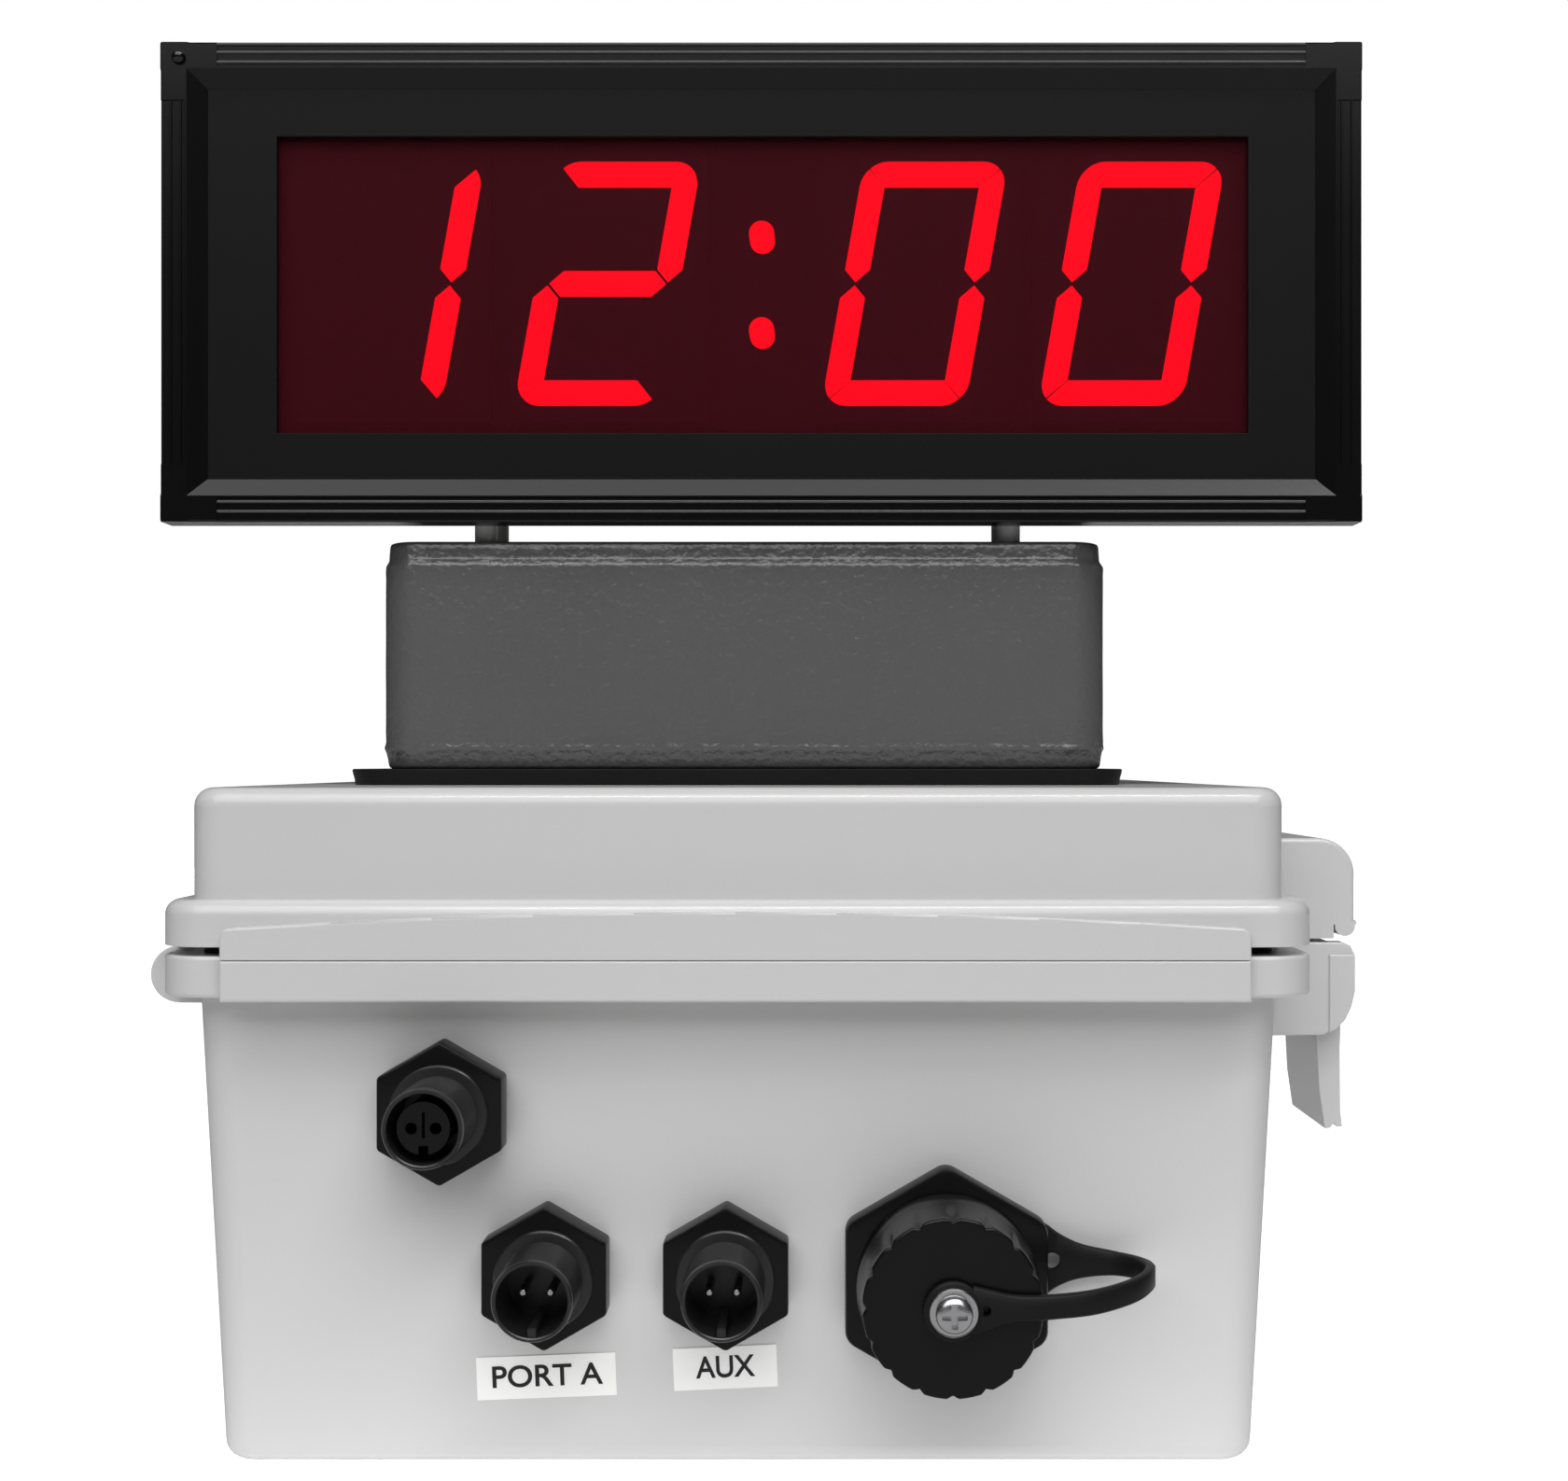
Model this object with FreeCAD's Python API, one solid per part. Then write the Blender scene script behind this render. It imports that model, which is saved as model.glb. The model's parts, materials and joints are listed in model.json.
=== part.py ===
import FreeCAD, Part
import math
import os
from FreeCAD import Vector

# A countdown signal controller: a hinged plastic enclosure that lies on its back, with a painted
# driver housing and a four-digit display carried on its lid.
# Millimetres. X runs across the enclosure, Y along it, Z up. The origin is the middle of the
# enclosure's back face, and the end wall with the ports faces -Y.

# Enclosure base
BASE_HALF_TOP = 106.2
BASE_HALF_BOTTOM = 101.0
BASE_HALF_LENGTH = 125.0
BASE_CORNER = 7.0
BASE_BOTTOM_FILLET = 3.6
WALL = 3.5
FLANGE_HALF_X = 112.3
FLANGE_HALF_Y = 130.5
FLANGE_CORNER = 10.0
FLANGE_EDGE = 0.8
BASE_FLANGE_Z = (91.4, 99.4)
LID_FLANGE_Z = (101.2, 110.1)
BAND_HALF = 98.5
BAND_PROUD = 2.5
BAND_BOTTOM = 90.9
BAND_JOINT = 98.9
BAND_END_TOP = 105.0
BAND_MIDDLE_TOP = 108.2
PARTING = 0.06
BAND_CLEARANCE = 0.2
BAND_CORNER = 2.0
MOULDED_EDGE = 0.5

# Lid
LID_HALF_X = 107.2
LID_HALF_Y = 126.0
LID_TOP = 131.8
LID_FILLET = 3.6
LID_FLANGE_FILLET = 3.0
LID_WALL = 3.0
LID_SKIRT_TOP = 104.2

# Gasket between base and lid
GASKET_HALF_X = 105.5
GASKET_HALF_Y = 124.3
GASKET_WIDTH = 2.0
GASKET_Z = (98.4, 101.0)

# Hinge along the left side
HINGE_X = -111.6
HINGE_Z = 94.5
HINGE_RADIUS = 5.65
HINGE_PIN_RADIUS = 1.5
RUNNING = 0.05
HINGE_PIN_HALF = 113.5
BASE_KNUCKLES = ((-116.0, -76.0), (-24.0, 24.0), (76.0, 116.0))
LID_KNUCKLES = ((-75.4, -24.6), (24.6, 75.4))

# Latches along the right side
LATCH_Y = (-95.0, -58.0)
LATCH_OUTER_X = 128.2
CHEEK = 3.5
LEVER_GAP = 0.3
LEVER_PIVOT = (125.0, 95.2)
LEVER_PIN_RADIUS = 1.2
LEVER_HEAD_RADIUS = 3.0
BOSS_INNER_X = 103.5
LUG_INNER_X = 105.9
LUG_Z = (99.8, 120.8)
BOSS_TOP = 99.0
BOSS_RIB_TOP = 99.5
LUG_CORNER = 7.5
LUG_EDGE = 1.0
CLAW_X = 123.8
CLAW_CENTRE = (126.2, 102.4)
CLAW_RADIUS = 2.1
LATCH_POCKET_X = 119.0
LATCH_PAD_X = 122.8
LATCH_PAD_Z = (80.0, 96.4)
LATCH_PAD_PROUD = 0.5

# Back mounting holes
MOUNT_X = 80.0
MOUNT_Y = 105.0
MOUNT_RADIUS = 2.6
MOUNT_DEPTH = 10.0
MOUNT_BOSS_RADIUS = 7.0
MOUNT_BOSS_TOP = 20.0

# Ports on the end wall: centre x and z
SENSOR_PORT = (-56.6, 69.5)
POWER_PORT = (-36.6, 38.0)
INPUT_PORT = (-1.9, 38.0)
DATA_PORT = (40.3, 37.4)
PORT_HEX = 24.0
PORT_COLLAR = 9.4
PORT_BARREL = 7.6
PORT_CUP = 6.6
PORT_CUP_DEPTH = 15.0
PORT_REACH = 24.0
PORT_HEX_DEPTH = (1.5, 7.8)
PORT_COLLAR_DEPTH = (7.8, 9.2)
PORT_SHANK = 8.0
PORT_INNER_REACH = 16.0
SHANK_CLEARANCE = 0.1
CONTACT_OFFSET = 2.6
CONTACT_RADIUS = 0.8
INSERT_RADIUS = 4.9
SOCKET_OFFSET = 2.25
SOCKET_RADIUS = 1.1
DATA_HEX = 38.7
DATA_SHANK = 13.0
DATA_BARREL = 12.6
DATA_CUP = 10.8
DATA_HEX_DEPTH = (3.6, 8.6)
DATA_BARREL_END = 22.8
DATA_CUP_FLOOR = 9.0
JACK_HALF = (8.2, 7.2)
JACK_CLEARANCE = 0.2
CAP_RADIUS = 16.2
CAP_COLLAR = 17.3
CAP_COLLAR_DEPTH = 4.5
CAP_BORE = 13.2
CAP_DEPTH = (9.2, 26.4)
CAP_FACE = 2.4
CAP_SEAL = (9.6, 12.4, 1.0)
CAP_SCREW_RADIUS = 1.6
CAP_SCREW_HEAD = (3.4, 2.4)
WASHER_RADIUS = 4.5
STRAP_THICKNESS = 2.0
STRAP_WIDTH = 4.4
STRAP_EYE = 5.4
STRAP_RING = 18.4
STRAP_RISE = 1.7
POWER_LABEL = (-37.1, 17.2)
INPUT_LABEL = (-2.3, 18.9)
LABEL_THICKNESS = 0.15

# Inside the enclosure
PLATE_HALF = (90.0, 115.0)
PLATE_Z = (MOUNT_BOSS_TOP, MOUNT_BOSS_TOP + 2.0)
PLATE_SCREW_RADIUS = 2.0
PLATE_SCREW_REACH = 6.0
BOARD_HALF = (62.0, 78.0)
BOARD_Z = (PLATE_Z[1] + 6.0, PLATE_Z[1] + 7.6)
BOARD_HOLE_INSET = 5.0
BOARD_SCREW_RADIUS = 1.5
PILLAR_RADIUS = 3.0
POWER_MODULE_HALF = (22.0, 30.0)
POWER_MODULE_CENTRE = (30.0, 34.0)
POWER_MODULE_HEIGHT = 22.0
TERMINAL_ROW_HALF = 50.0
TERMINAL_ROW_Y = (-76.0, -64.0)
TERMINAL_ROW_HEIGHT = 12.0
TERMINAL_COUNT = 12
TERMINAL_PITCH = 8.27

# Mat and driver housing
MAT_HALF = 84.3
MAT_CENTRE_X = -2.0
MAT_Z = (LID_TOP, 135.3)
HOUSING_HALF = 79.5
HOUSING_CENTRE_X = -0.6
HOUSING_Z = (135.3, 184.9)
HOUSING_CORNER = 8.0
HOUSING_BEND = 3.5
HOUSING_WALL = 2.5
BASE_PLATE = 3.0
BASE_PLATE_HALF = 70.0
DRIVER_BOARD_HALF = 60.0
HOUSING_SCREW_PLACE = 55.0
HOUSING_SCREW_LENGTH = 11.5
HOUSING_SCREW_RADIUS = 2.0
STANDOFF_X = 58.0
STANDOFF_Y = (-70.0, -54.0)
STANDOFF_RADIUS = 2.5
STANDOFF_SCREW_RADIUS = 1.5

# Display
DISPLAY_X = 3.5
DISPLAY_FRONT = -85.0
DISPLAY_WIDTH = 258.0
DISPLAY_Z = (188.4, 291.4)
RAIL_FLAT = 5.6
RAIL_WIDTH = 9.4
RAIL_DEPTH = 8.0
RAIL_DROP = 2.4
RAIL_SINK = 0.3
RIDGE_PLACES = (2.2, 4.3)
RIDGE_HALF = 0.3
CORNER_BLOCK = (12.2, 12.4)
CASE_INSET = 6.5
CASE_DEPTH = 36.0
CASE_WALL = 1.5
REAR_COVER = 2.0
COVER_SCREW_INSET = 7.0
COVER_SCREW_LENGTH = 7.0
COVER_SCREW_HEAD = (2.8, 1.8)
COVER_POST_HALF = 6.0
WINDOW_LAP = 3.0
VENT_COUNT = 13
VENT_PITCH = 15.0
PANEL_DEPTH = (2.4, 3.9)
WINDOW_DEPTH = (3.9, 5.9)
WINDOW_SIZE = (209.6, 64.0)
WINDOW_CENTRE = (3.7, 239.8)
SEGMENT_DEPTH = (6.1, 7.1)
BLOCK_DEPTH = (7.1, 13.0)
BOARD_DEPTH = (13.0, 14.6)

# Digits
DIGIT_CENTRE = (3.3, 241.0)
DIGIT_OFFSETS = (-80.7, -33.45, 33.45, 80.7)
DIGIT_SEGMENTS = ("bc", "abged", "abcdef", "abcdef")
DIGIT_HALF_WIDTH = 15.7
DIGIT_HALF_HEIGHT = 26.5
SEGMENT_WIDTH = 5.4
SEGMENT_TIP = 0.45
SEGMENT_SEAM = 0.15
DIGIT_SLANT = math.tan(math.radians(10.0))
DIGIT_BLOCK_HALF = (21.5, 30.0)
COLON_RADIUS = 2.75
COLON_HALF_SPACING = 10.5

END_WALL = -BASE_HALF_LENGTH
OUT = "parts"


# Helpers

def block(x, y, z):
    """Box from a low and a high value on each axis."""
    return Part.makeBox(x[1] - x[0], y[1] - y[0], z[1] - z[0], Vector(x[0], y[0], z[0]))


def rod(radius, start, direction, length):
    return Part.makeCylinder(radius, length, Vector(*start), Vector(*direction))


def rod_y(radius, x, z, y):
    """Cylinder along Y between two y values."""
    return rod(radius, (x, y[0], z), (0, 1, 0), y[1] - y[0])


def rod_z(radius, x, y, z):
    return rod(radius, (x, y, z[0]), (0, 0, 1), z[1] - z[0])


def rounded_wire(half_x, half_y, radius, z, centre_x=0.0, centre_y=0.0):
    """Rounded rectangle at height z."""
    edges = []
    inner_x = half_x - radius
    inner_y = half_y - radius
    turns = ((1, 1), (-1, 1), (-1, -1), (1, -1))
    points = []
    for index, (side_x, side_y) in enumerate(turns):
        corner = Vector(centre_x + side_x * inner_x, centre_y + side_y * inner_y, z)
        start = math.radians(90 * index)
        arc = [corner + Vector(math.cos(start + step), math.sin(start + step), 0) * radius
               for step in (0.0, math.pi / 4, math.pi / 2)]
        points.append(arc)
    for index, arc in enumerate(points):
        following = points[(index + 1) % len(points)]
        edges.append(Part.Arc(*arc).toShape())
        edges.append(Part.makeLine(arc[-1], following[0]))
    return Part.Wire(edges)


def slab(half_x, half_y, radius, z, centre_x=0.0, centre_y=0.0):
    """Upright rounded block between two heights."""
    face = Part.Face(rounded_wire(half_x, half_y, radius, z[0], centre_x, centre_y))
    return face.extrude(Vector(0, 0, z[1] - z[0]))


def prism_y(points, y):
    """Polygon of (x, z) points, drawn along Y."""
    corners = [Vector(px, y[0], pz) for px, pz in points]
    face = Part.Face(Part.makePolygon(corners + corners[:1]))
    return face.extrude(Vector(0, y[1] - y[0], 0))


def edges_where(shape, test):
    """Edges whose every vertex passes the test."""
    return [edge for edge in shape.Edges if all(test(vertex.Point) for vertex in edge.Vertexes)]


def near(value, target, tolerance=0.02):
    return abs(value - target) < tolerance


def end_edges(shape):
    """Edges that lie in one plane across Y."""
    return [edge for edge in shape.Edges if edge.BoundBox.YLength < 0.01]


def soft_ends(shape):
    """Shape with the small moulded radius round both of its Y ends."""
    return shape.makeFillet(MOULDED_EDGE, end_edges(shape))


def save(name, *solids):
    """Write one node, keeping separate solids separate."""
    shape = solids[0] if len(solids) == 1 else Part.makeCompound(list(solids))
    shape.exportStep(os.path.join(OUT, name + ".step"))


def hexagon(across_flats, corner, x, z, y):
    """Hexagonal block along Y with a vertex at the top and rounded corners."""
    radius = across_flats / math.sqrt(3)
    angles = [math.radians(90 + 60 * step) for step in range(6)]
    points = [(x + radius * math.cos(a), z + radius * math.sin(a)) for a in angles]
    solid = prism_y(points, y)
    upright = [edge for edge in solid.Edges if near(abs(edge.tangentAt(edge.FirstParameter).y), 1)]
    return solid.makeFillet(corner, upright)


# Enclosure

def tub():
    """Base shell: drafted side walls, a flange and the fixed half of each end band."""
    low = rounded_wire(BASE_HALF_BOTTOM, BASE_HALF_LENGTH, BASE_CORNER, 0)
    high = rounded_wire(BASE_HALF_TOP, BASE_HALF_LENGTH, BASE_CORNER, BASE_FLANGE_Z[0] + 1)
    outer = Part.makeLoft([low, high], True, True)
    outer = outer.makeFillet(BASE_BOTTOM_FILLET, edges_where(outer, lambda p: near(p.z, 0)))
    flange = slab(FLANGE_HALF_X, FLANGE_HALF_Y, FLANGE_CORNER, BASE_FLANGE_Z)
    rims = edges_where(flange, lambda p: near(p.z, BASE_FLANGE_Z[0]) or near(p.z, BASE_FLANGE_Z[1]))
    flange = flange.makeFillet(FLANGE_EDGE, rims)
    shell = outer.fuse(flange)
    for side in (-1, 1):
        outer_y = side * (FLANGE_HALF_Y + BAND_PROUD)
        faces = sorted((side * (FLANGE_HALF_Y - 2), outer_y))
        band = block((-BAND_HALF, BAND_HALF), faces, (BAND_BOTTOM, BAND_JOINT - PARTING))
        rims = edges_where(band, lambda p: near(p.y, outer_y))
        shell = shell.fuse(band.makeFillet(MOULDED_EDGE, rims))
    return shell


def tub_hollow():
    low = rounded_wire(BASE_HALF_BOTTOM - WALL, BASE_HALF_LENGTH - WALL, BASE_CORNER - 3, WALL)
    high = rounded_wire(BASE_HALF_TOP - WALL, BASE_HALF_LENGTH - WALL, BASE_CORNER - 3, 110)
    return Part.makeLoft([low, high], True, True)


def gasket_ring(grow, z):
    """Gasket section swept round the mouth; grow makes the groove that holds it."""
    outer = slab(GASKET_HALF_X + grow, GASKET_HALF_Y + grow, 6, z)
    inner_x = GASKET_HALF_X - GASKET_WIDTH - grow
    inner_y = GASKET_HALF_Y - GASKET_WIDTH - grow
    return outer.cut(slab(inner_x, inner_y, 4, z))


def latch_profile():
    """Side outline of a latch boss, with its curved lower outer corner."""
    return [(BOSS_INNER_X, 79.3), (121.7, 79.5), (124.2, 80.8), (126.1, 82.7), (127.4, 85.4),
            (LATCH_OUTER_X, 88.7), (LATCH_OUTER_X, 96.5), (127.4, 98.3), (125.8, BOSS_TOP),
            (BOSS_INNER_X, BOSS_TOP)]


def latch_boss(y):
    """Fixed latch boss: a block with two cheeks that hold the lever's pin."""
    solid = soft_ends(prism_y(latch_profile(), y))
    pocket = block((LATCH_POCKET_X, 140), (y[0] + CHEEK, y[1] - CHEEK), (70, 110))
    solid = solid.cut(pocket)
    low, high = LATCH_PAD_Z
    rim = [(px, min(pz, high)) for px, pz in latch_profile() if px > LATCH_PAD_X]
    pad = [(LATCH_PAD_X, low)] + rim[:-2] + [(LATCH_PAD_X, high)]
    for end in y:
        plate = prism_y(pad, (end - LATCH_PAD_PROUD, end + LATCH_PAD_PROUD))
        solid = solid.fuse(plate.makeFillet(0.3, end_edges(plate)))
    inward = 2 * LATCH_PAD_PROUD
    rib_y = (y[0] + inward, y[1] - inward)
    solid = solid.fuse(block((BOSS_INNER_X, LATCH_POCKET_X), rib_y, (BOSS_TOP - 1, BOSS_RIB_TOP)))
    return solid.cut(rod_y(LEVER_PIN_RADIUS + RUNNING, *LEVER_PIVOT, (y[0] + 1.2, y[1] - 1.2)))


def enclosure_base():
    shell = tub()
    for y in BASE_KNUCKLES:
        shell = shell.fuse(soft_ends(rod_y(HINGE_RADIUS, HINGE_X, HINGE_Z, y)))
        web = block((HINGE_X, HINGE_X + 6), y, (HINGE_Z - HINGE_RADIUS, HINGE_Z + 4.2))
        shell = shell.fuse(web)
    for y in latch_spans():
        shell = shell.fuse(latch_boss(y))
    shell = shell.cut(tub_hollow())
    for x, y in mount_places():
        shell = shell.fuse(rod_z(MOUNT_BOSS_RADIUS, x, y, (WALL - 0.5, MOUNT_BOSS_TOP)))
        shell = shell.cut(rod_z(MOUNT_RADIUS, x, y, (-1, MOUNT_DEPTH)))
        pilot = (MOUNT_BOSS_TOP - PLATE_SCREW_REACH - 0.5, MOUNT_BOSS_TOP + 1)
        shell = shell.cut(rod_z(PLATE_SCREW_RADIUS + RUNNING, x, y, pilot))
    for y in LID_KNUCKLES:
        clear = (y[0] - 0.4, y[1] + 0.4)
        shell = shell.cut(rod_y(HINGE_RADIUS + 0.3, HINGE_X, HINGE_Z, clear))
        side = block((-120, HINGE_X), clear, (80, 105))
        above = block((-120, HINGE_X + 3.2), clear, (HINGE_Z, 105))
        shell = shell.cut(side).cut(above)
    shell = shell.cut(rod_y(HINGE_PIN_RADIUS + RUNNING, HINGE_X, HINGE_Z,
                             (-HINGE_PIN_HALF - 0.5, HINGE_PIN_HALF + 0.5)))
    shell = shell.cut(gasket_ring(0.1, (GASKET_Z[0], 105)))
    for x, z in (SENSOR_PORT, POWER_PORT, INPUT_PORT):
        shell = shell.cut(rod_y(PORT_SHANK + SHANK_CLEARANCE, x, z, (END_WALL - 1, END_WALL + 8)))
    data_hole = rod_y(DATA_SHANK + SHANK_CLEARANCE, *DATA_PORT, (END_WALL - 1, END_WALL + 8))
    shell = shell.cut(data_hole)
    return shell.removeSplitter()


def latch_spans():
    return LATCH_Y, (-LATCH_Y[1], -LATCH_Y[0])


def mount_places():
    return [(sx * MOUNT_X, sy * MOUNT_Y) for sx in (-1, 1) for sy in (-1, 1)]


def lid_band(side):
    """Arched half of the end band that belongs to the lid."""
    outer_y = side * (FLANGE_HALF_Y + BAND_PROUD)
    y0, y1 = sorted((side * (FLANGE_HALF_Y - 2), outer_y))
    bottom = BAND_JOINT + PARTING
    corner = BAND_CORNER
    left = Vector(-BAND_HALF, y0, BAND_END_TOP - corner)
    left_top = Vector(-BAND_HALF + corner, y0, BAND_END_TOP)
    crown = Vector(0, y0, BAND_MIDDLE_TOP)
    right_top = Vector(BAND_HALF - corner, y0, BAND_END_TOP)
    right = Vector(BAND_HALF, y0, BAND_END_TOP - corner)
    reach = corner * (1 - math.sqrt(0.5))
    left_mid = Vector(-BAND_HALF + reach, y0, BAND_END_TOP - reach)
    right_mid = Vector(BAND_HALF - reach, y0, BAND_END_TOP - reach)
    low_left = Vector(-BAND_HALF, y0, bottom)
    low_right = Vector(BAND_HALF, y0, bottom)
    edges = [Part.makeLine(low_left, left), Part.Arc(left, left_mid, left_top).toShape(),
             Part.Arc(left_top, crown, right_top).toShape(),
             Part.Arc(right_top, right_mid, right).toShape(),
             Part.makeLine(right, low_right), Part.makeLine(low_right, low_left)]
    band = Part.Face(Part.Wire(edges)).extrude(Vector(0, y1 - y0, 0))
    over_base = FLANGE_HALF_Y + BAND_CLEARANCE
    clear = block((-BAND_HALF - 1, BAND_HALF + 1), (-over_base, over_base), (bottom - 1, LID_FLANGE_Z[0]))
    band = band.cut(clear)
    upper = [edge for edge in edges_where(band, lambda p: near(p.y, outer_y))
             if edge.BoundBox.ZMax > bottom + 1]
    return band.makeFillet(MOULDED_EDGE, upper)


def latch_lug(y):
    """Lid side of a latch: a rounded block whose lower outer corner ends in a claw."""
    lug = block((LUG_INNER_X, LATCH_OUTER_X), y, LUG_Z)
    outer_top = edges_where(lug, lambda p: near(p.x, LATCH_OUTER_X) and near(p.z, LUG_Z[1]))
    lug = lug.makeFillet(LUG_CORNER, outer_top)
    rims = [edge for edge in end_edges(lug)
            if edge.BoundBox.ZMax > LUG_Z[0] + 1 and edge.BoundBox.XMax > LUG_INNER_X + 1]
    lug = lug.makeFillet(LUG_EDGE, rims)
    lug = lug.cut(block((CLAW_X, CLAW_X + 20), (y[0] - 5, y[1] + 5), (99, 103.4)))
    lip = block((CLAW_X, LATCH_OUTER_X + 0.4), y, (102.7, 103.5))
    claw = rod_y(CLAW_RADIUS, *CLAW_CENTRE, y).cut(block((120, 140), (y[0] - 1, y[1] + 1), (103, 110)))
    return lug.fuse(lip).fuse(claw)


def enclosure_lid():
    raised = slab(LID_HALF_X, LID_HALF_Y, BASE_CORNER, (LID_FLANGE_Z[0] + 1, LID_TOP))
    raised = raised.makeFillet(LID_FILLET, edges_where(raised, lambda p: near(p.z, LID_TOP)))
    flange = slab(FLANGE_HALF_X, FLANGE_HALF_Y, FLANGE_CORNER, LID_FLANGE_Z)
    upper_rim = edges_where(flange, lambda p: near(p.z, LID_FLANGE_Z[1]))
    flange = flange.makeFillet(LID_FLANGE_FILLET, upper_rim)
    shell = raised.fuse(flange)
    for y in latch_spans():
        shell = shell.fuse(latch_lug(y))
    inner = (LID_HALF_X - LID_WALL, LID_HALF_Y - LID_WALL)
    shell = shell.cut(slab(*inner, 4, (LID_SKIRT_TOP, LID_TOP - WALL)))
    mouth = (BASE_HALF_TOP - WALL, BASE_HALF_LENGTH - WALL)
    shell = shell.cut(slab(*mouth, 4, (LID_FLANGE_Z[0] - 1, LID_SKIRT_TOP + 0.5)))
    for side in (-1, 1):
        shell = shell.fuse(lid_band(side))
    for y in LID_KNUCKLES:
        knuckle = rod_y(HINGE_RADIUS - 0.3, HINGE_X, HINGE_Z, y)
        arm = block((HINGE_X - HINGE_RADIUS + 0.3, HINGE_X + 2.5), y, (HINGE_Z, 104.5))
        shell = shell.fuse(arm).fuse(knuckle)
    shell = shell.cut(rod_y(HINGE_PIN_RADIUS + RUNNING, HINGE_X, HINGE_Z, (-80, 80)))
    for x, y in housing_screw_places():
        shell = shell.cut(rod_z(HOUSING_SCREW_RADIUS + 0.1, x, y, (LID_TOP - 10, LID_TOP + 5)))
    return shell.removeSplitter()


def latch_lever(y):
    """Hanging lever: a rounded head on the pin, a shell behind the cheeks and a flared handle."""
    span = (y[0] + CHEEK + LEVER_GAP, y[1] - CHEEK - LEVER_GAP)
    pivot_x, pivot_z = LEVER_PIVOT
    head = rod_y(LEVER_HEAD_RADIUS, pivot_x, pivot_z, span)
    outline = [(pivot_x + LEVER_HEAD_RADIUS, pivot_z), (128.0, 88.7), (127.2, 85.4), (126.3, 82.0),
               (126.1, 76), (126.2, 63), (126.6, 59.6), (125.4, 59.6), (124.8, 60.4), (124.1, 59.4),
               (122.9, 59.2), (121.7, 67.5), (121.1, 79.0), (121.4, 90.0),
               (pivot_x - LEVER_HEAD_RADIUS, pivot_z)]
    lever = prism_y(outline, span).fuse(head)
    bore = rod_y(LEVER_PIN_RADIUS + RUNNING, pivot_x, pivot_z, (y[0] - 1, y[1] + 1))
    return lever.cut(bore).removeSplitter()


def make_enclosure():
    save("enclosure_base", enclosure_base())
    save("enclosure_lid", enclosure_lid())
    save("lid_gasket", gasket_ring(0, GASKET_Z))
    save("hinge_pin", rod_y(HINGE_PIN_RADIUS, HINGE_X, HINGE_Z, (-HINGE_PIN_HALF, HINGE_PIN_HALF)))
    spans = latch_spans()
    save("latch_lever_front", latch_lever(spans[0]))
    save("latch_lever_rear", latch_lever(spans[1]))
    pins = [rod_y(LEVER_PIN_RADIUS, *LEVER_PIVOT, (y[0] + 1.4, y[1] - 1.4)) for y in spans]
    save("latch_pins", *pins)


# Inside the enclosure

def pan_screw(x, y, seat, length, radius, head_radius=None, up=1):
    """Screw with its head's underside at the seat; up is 1 for a head above it."""
    head = head_radius or radius * 1.9
    head_z = sorted((seat, seat + up * radius * 1.2))
    shank_z = sorted((seat, seat - up * length))
    solid = rod_z(radius, x, y, shank_z).fuse(rod_z(head, x, y, head_z))
    slot_z = sorted((seat + up * radius * 0.6, seat + up * radius * 1.3))
    cross = block((x - radius * 1.1, x + radius * 1.1), (y - 0.3, y + 0.3), slot_z)
    other = block((x - 0.3, x + 0.3), (y - radius * 1.1, y + radius * 1.1), slot_z)
    return solid.cut(cross).cut(other)


def make_inside():
    plate = slab(*PLATE_HALF, 4, PLATE_Z)
    corners = mount_places()
    hole_x = BOARD_HALF[0] - BOARD_HOLE_INSET
    hole_y = BOARD_HALF[1] - BOARD_HOLE_INSET
    board_corners = [(sx * hole_x, sy * hole_y) for sx in (-1, 1) for sy in (-1, 1)]
    through = (PLATE_Z[0] - 5, BOARD_Z[1] + 5)
    drill = BOARD_SCREW_RADIUS + 0.1
    for x, y in corners:
        plate = plate.cut(rod_z(PLATE_SCREW_RADIUS + 0.1, x, y, through))
    for x, y in board_corners:
        plate = plate.cut(rod_z(drill, x, y, through))
    save("mounting_plate", plate)
    reach = PLATE_Z[1] - PLATE_Z[0] + PLATE_SCREW_REACH
    save("plate_screws", *[pan_screw(x, y, PLATE_Z[1], reach, PLATE_SCREW_RADIUS) for x, y in corners])
    board = block((-BOARD_HALF[0], BOARD_HALF[0]), (-BOARD_HALF[1], BOARD_HALF[1]), BOARD_Z)
    standoffs = []
    for x, y in board_corners:
        board = board.cut(rod_z(drill, x, y, through))
        pillar = rod_z(PILLAR_RADIUS, x, y, (PLATE_Z[1], BOARD_Z[0]))
        standoffs.append(pillar.cut(rod_z(drill, x, y, through)))
    save("control_board", board)
    save("board_standoffs", *standoffs)
    board_reach = BOARD_Z[1] - PLATE_Z[0] + 1
    screws = [pan_screw(x, y, BOARD_Z[1], board_reach, BOARD_SCREW_RADIUS) for x, y in board_corners]
    save("board_screws", *screws)
    save("terminal_block", terminal_block())
    module_z = (BOARD_Z[1], BOARD_Z[1] + POWER_MODULE_HEIGHT)
    save("power_module", slab(*POWER_MODULE_HALF, 2, module_z, *POWER_MODULE_CENTRE))


def terminal_block():
    """Row of screw terminals: a wire entry in front and a screw well above for each way."""
    low = BOARD_Z[1]
    ends = (-TERMINAL_ROW_HALF, TERMINAL_ROW_HALF)
    row = block(ends, TERMINAL_ROW_Y, (low, low + TERMINAL_ROW_HEIGHT))
    first = -TERMINAL_PITCH * (TERMINAL_COUNT - 1) / 2
    for index in range(TERMINAL_COUNT):
        x = first + index * TERMINAL_PITCH
        row = row.cut(block((x - 2, x + 2), (-80, -71), (low + 2.4, low + 6.4)))
        row = row.cut(rod_z(1.8, x, -68, (low + 8.4, low + 20)))
    return row


# Ports

def out_of_wall(depth):
    """Pair of distances in front of the end wall as a y span."""
    return (END_WALL - depth[1], END_WALL - depth[0])


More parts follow.
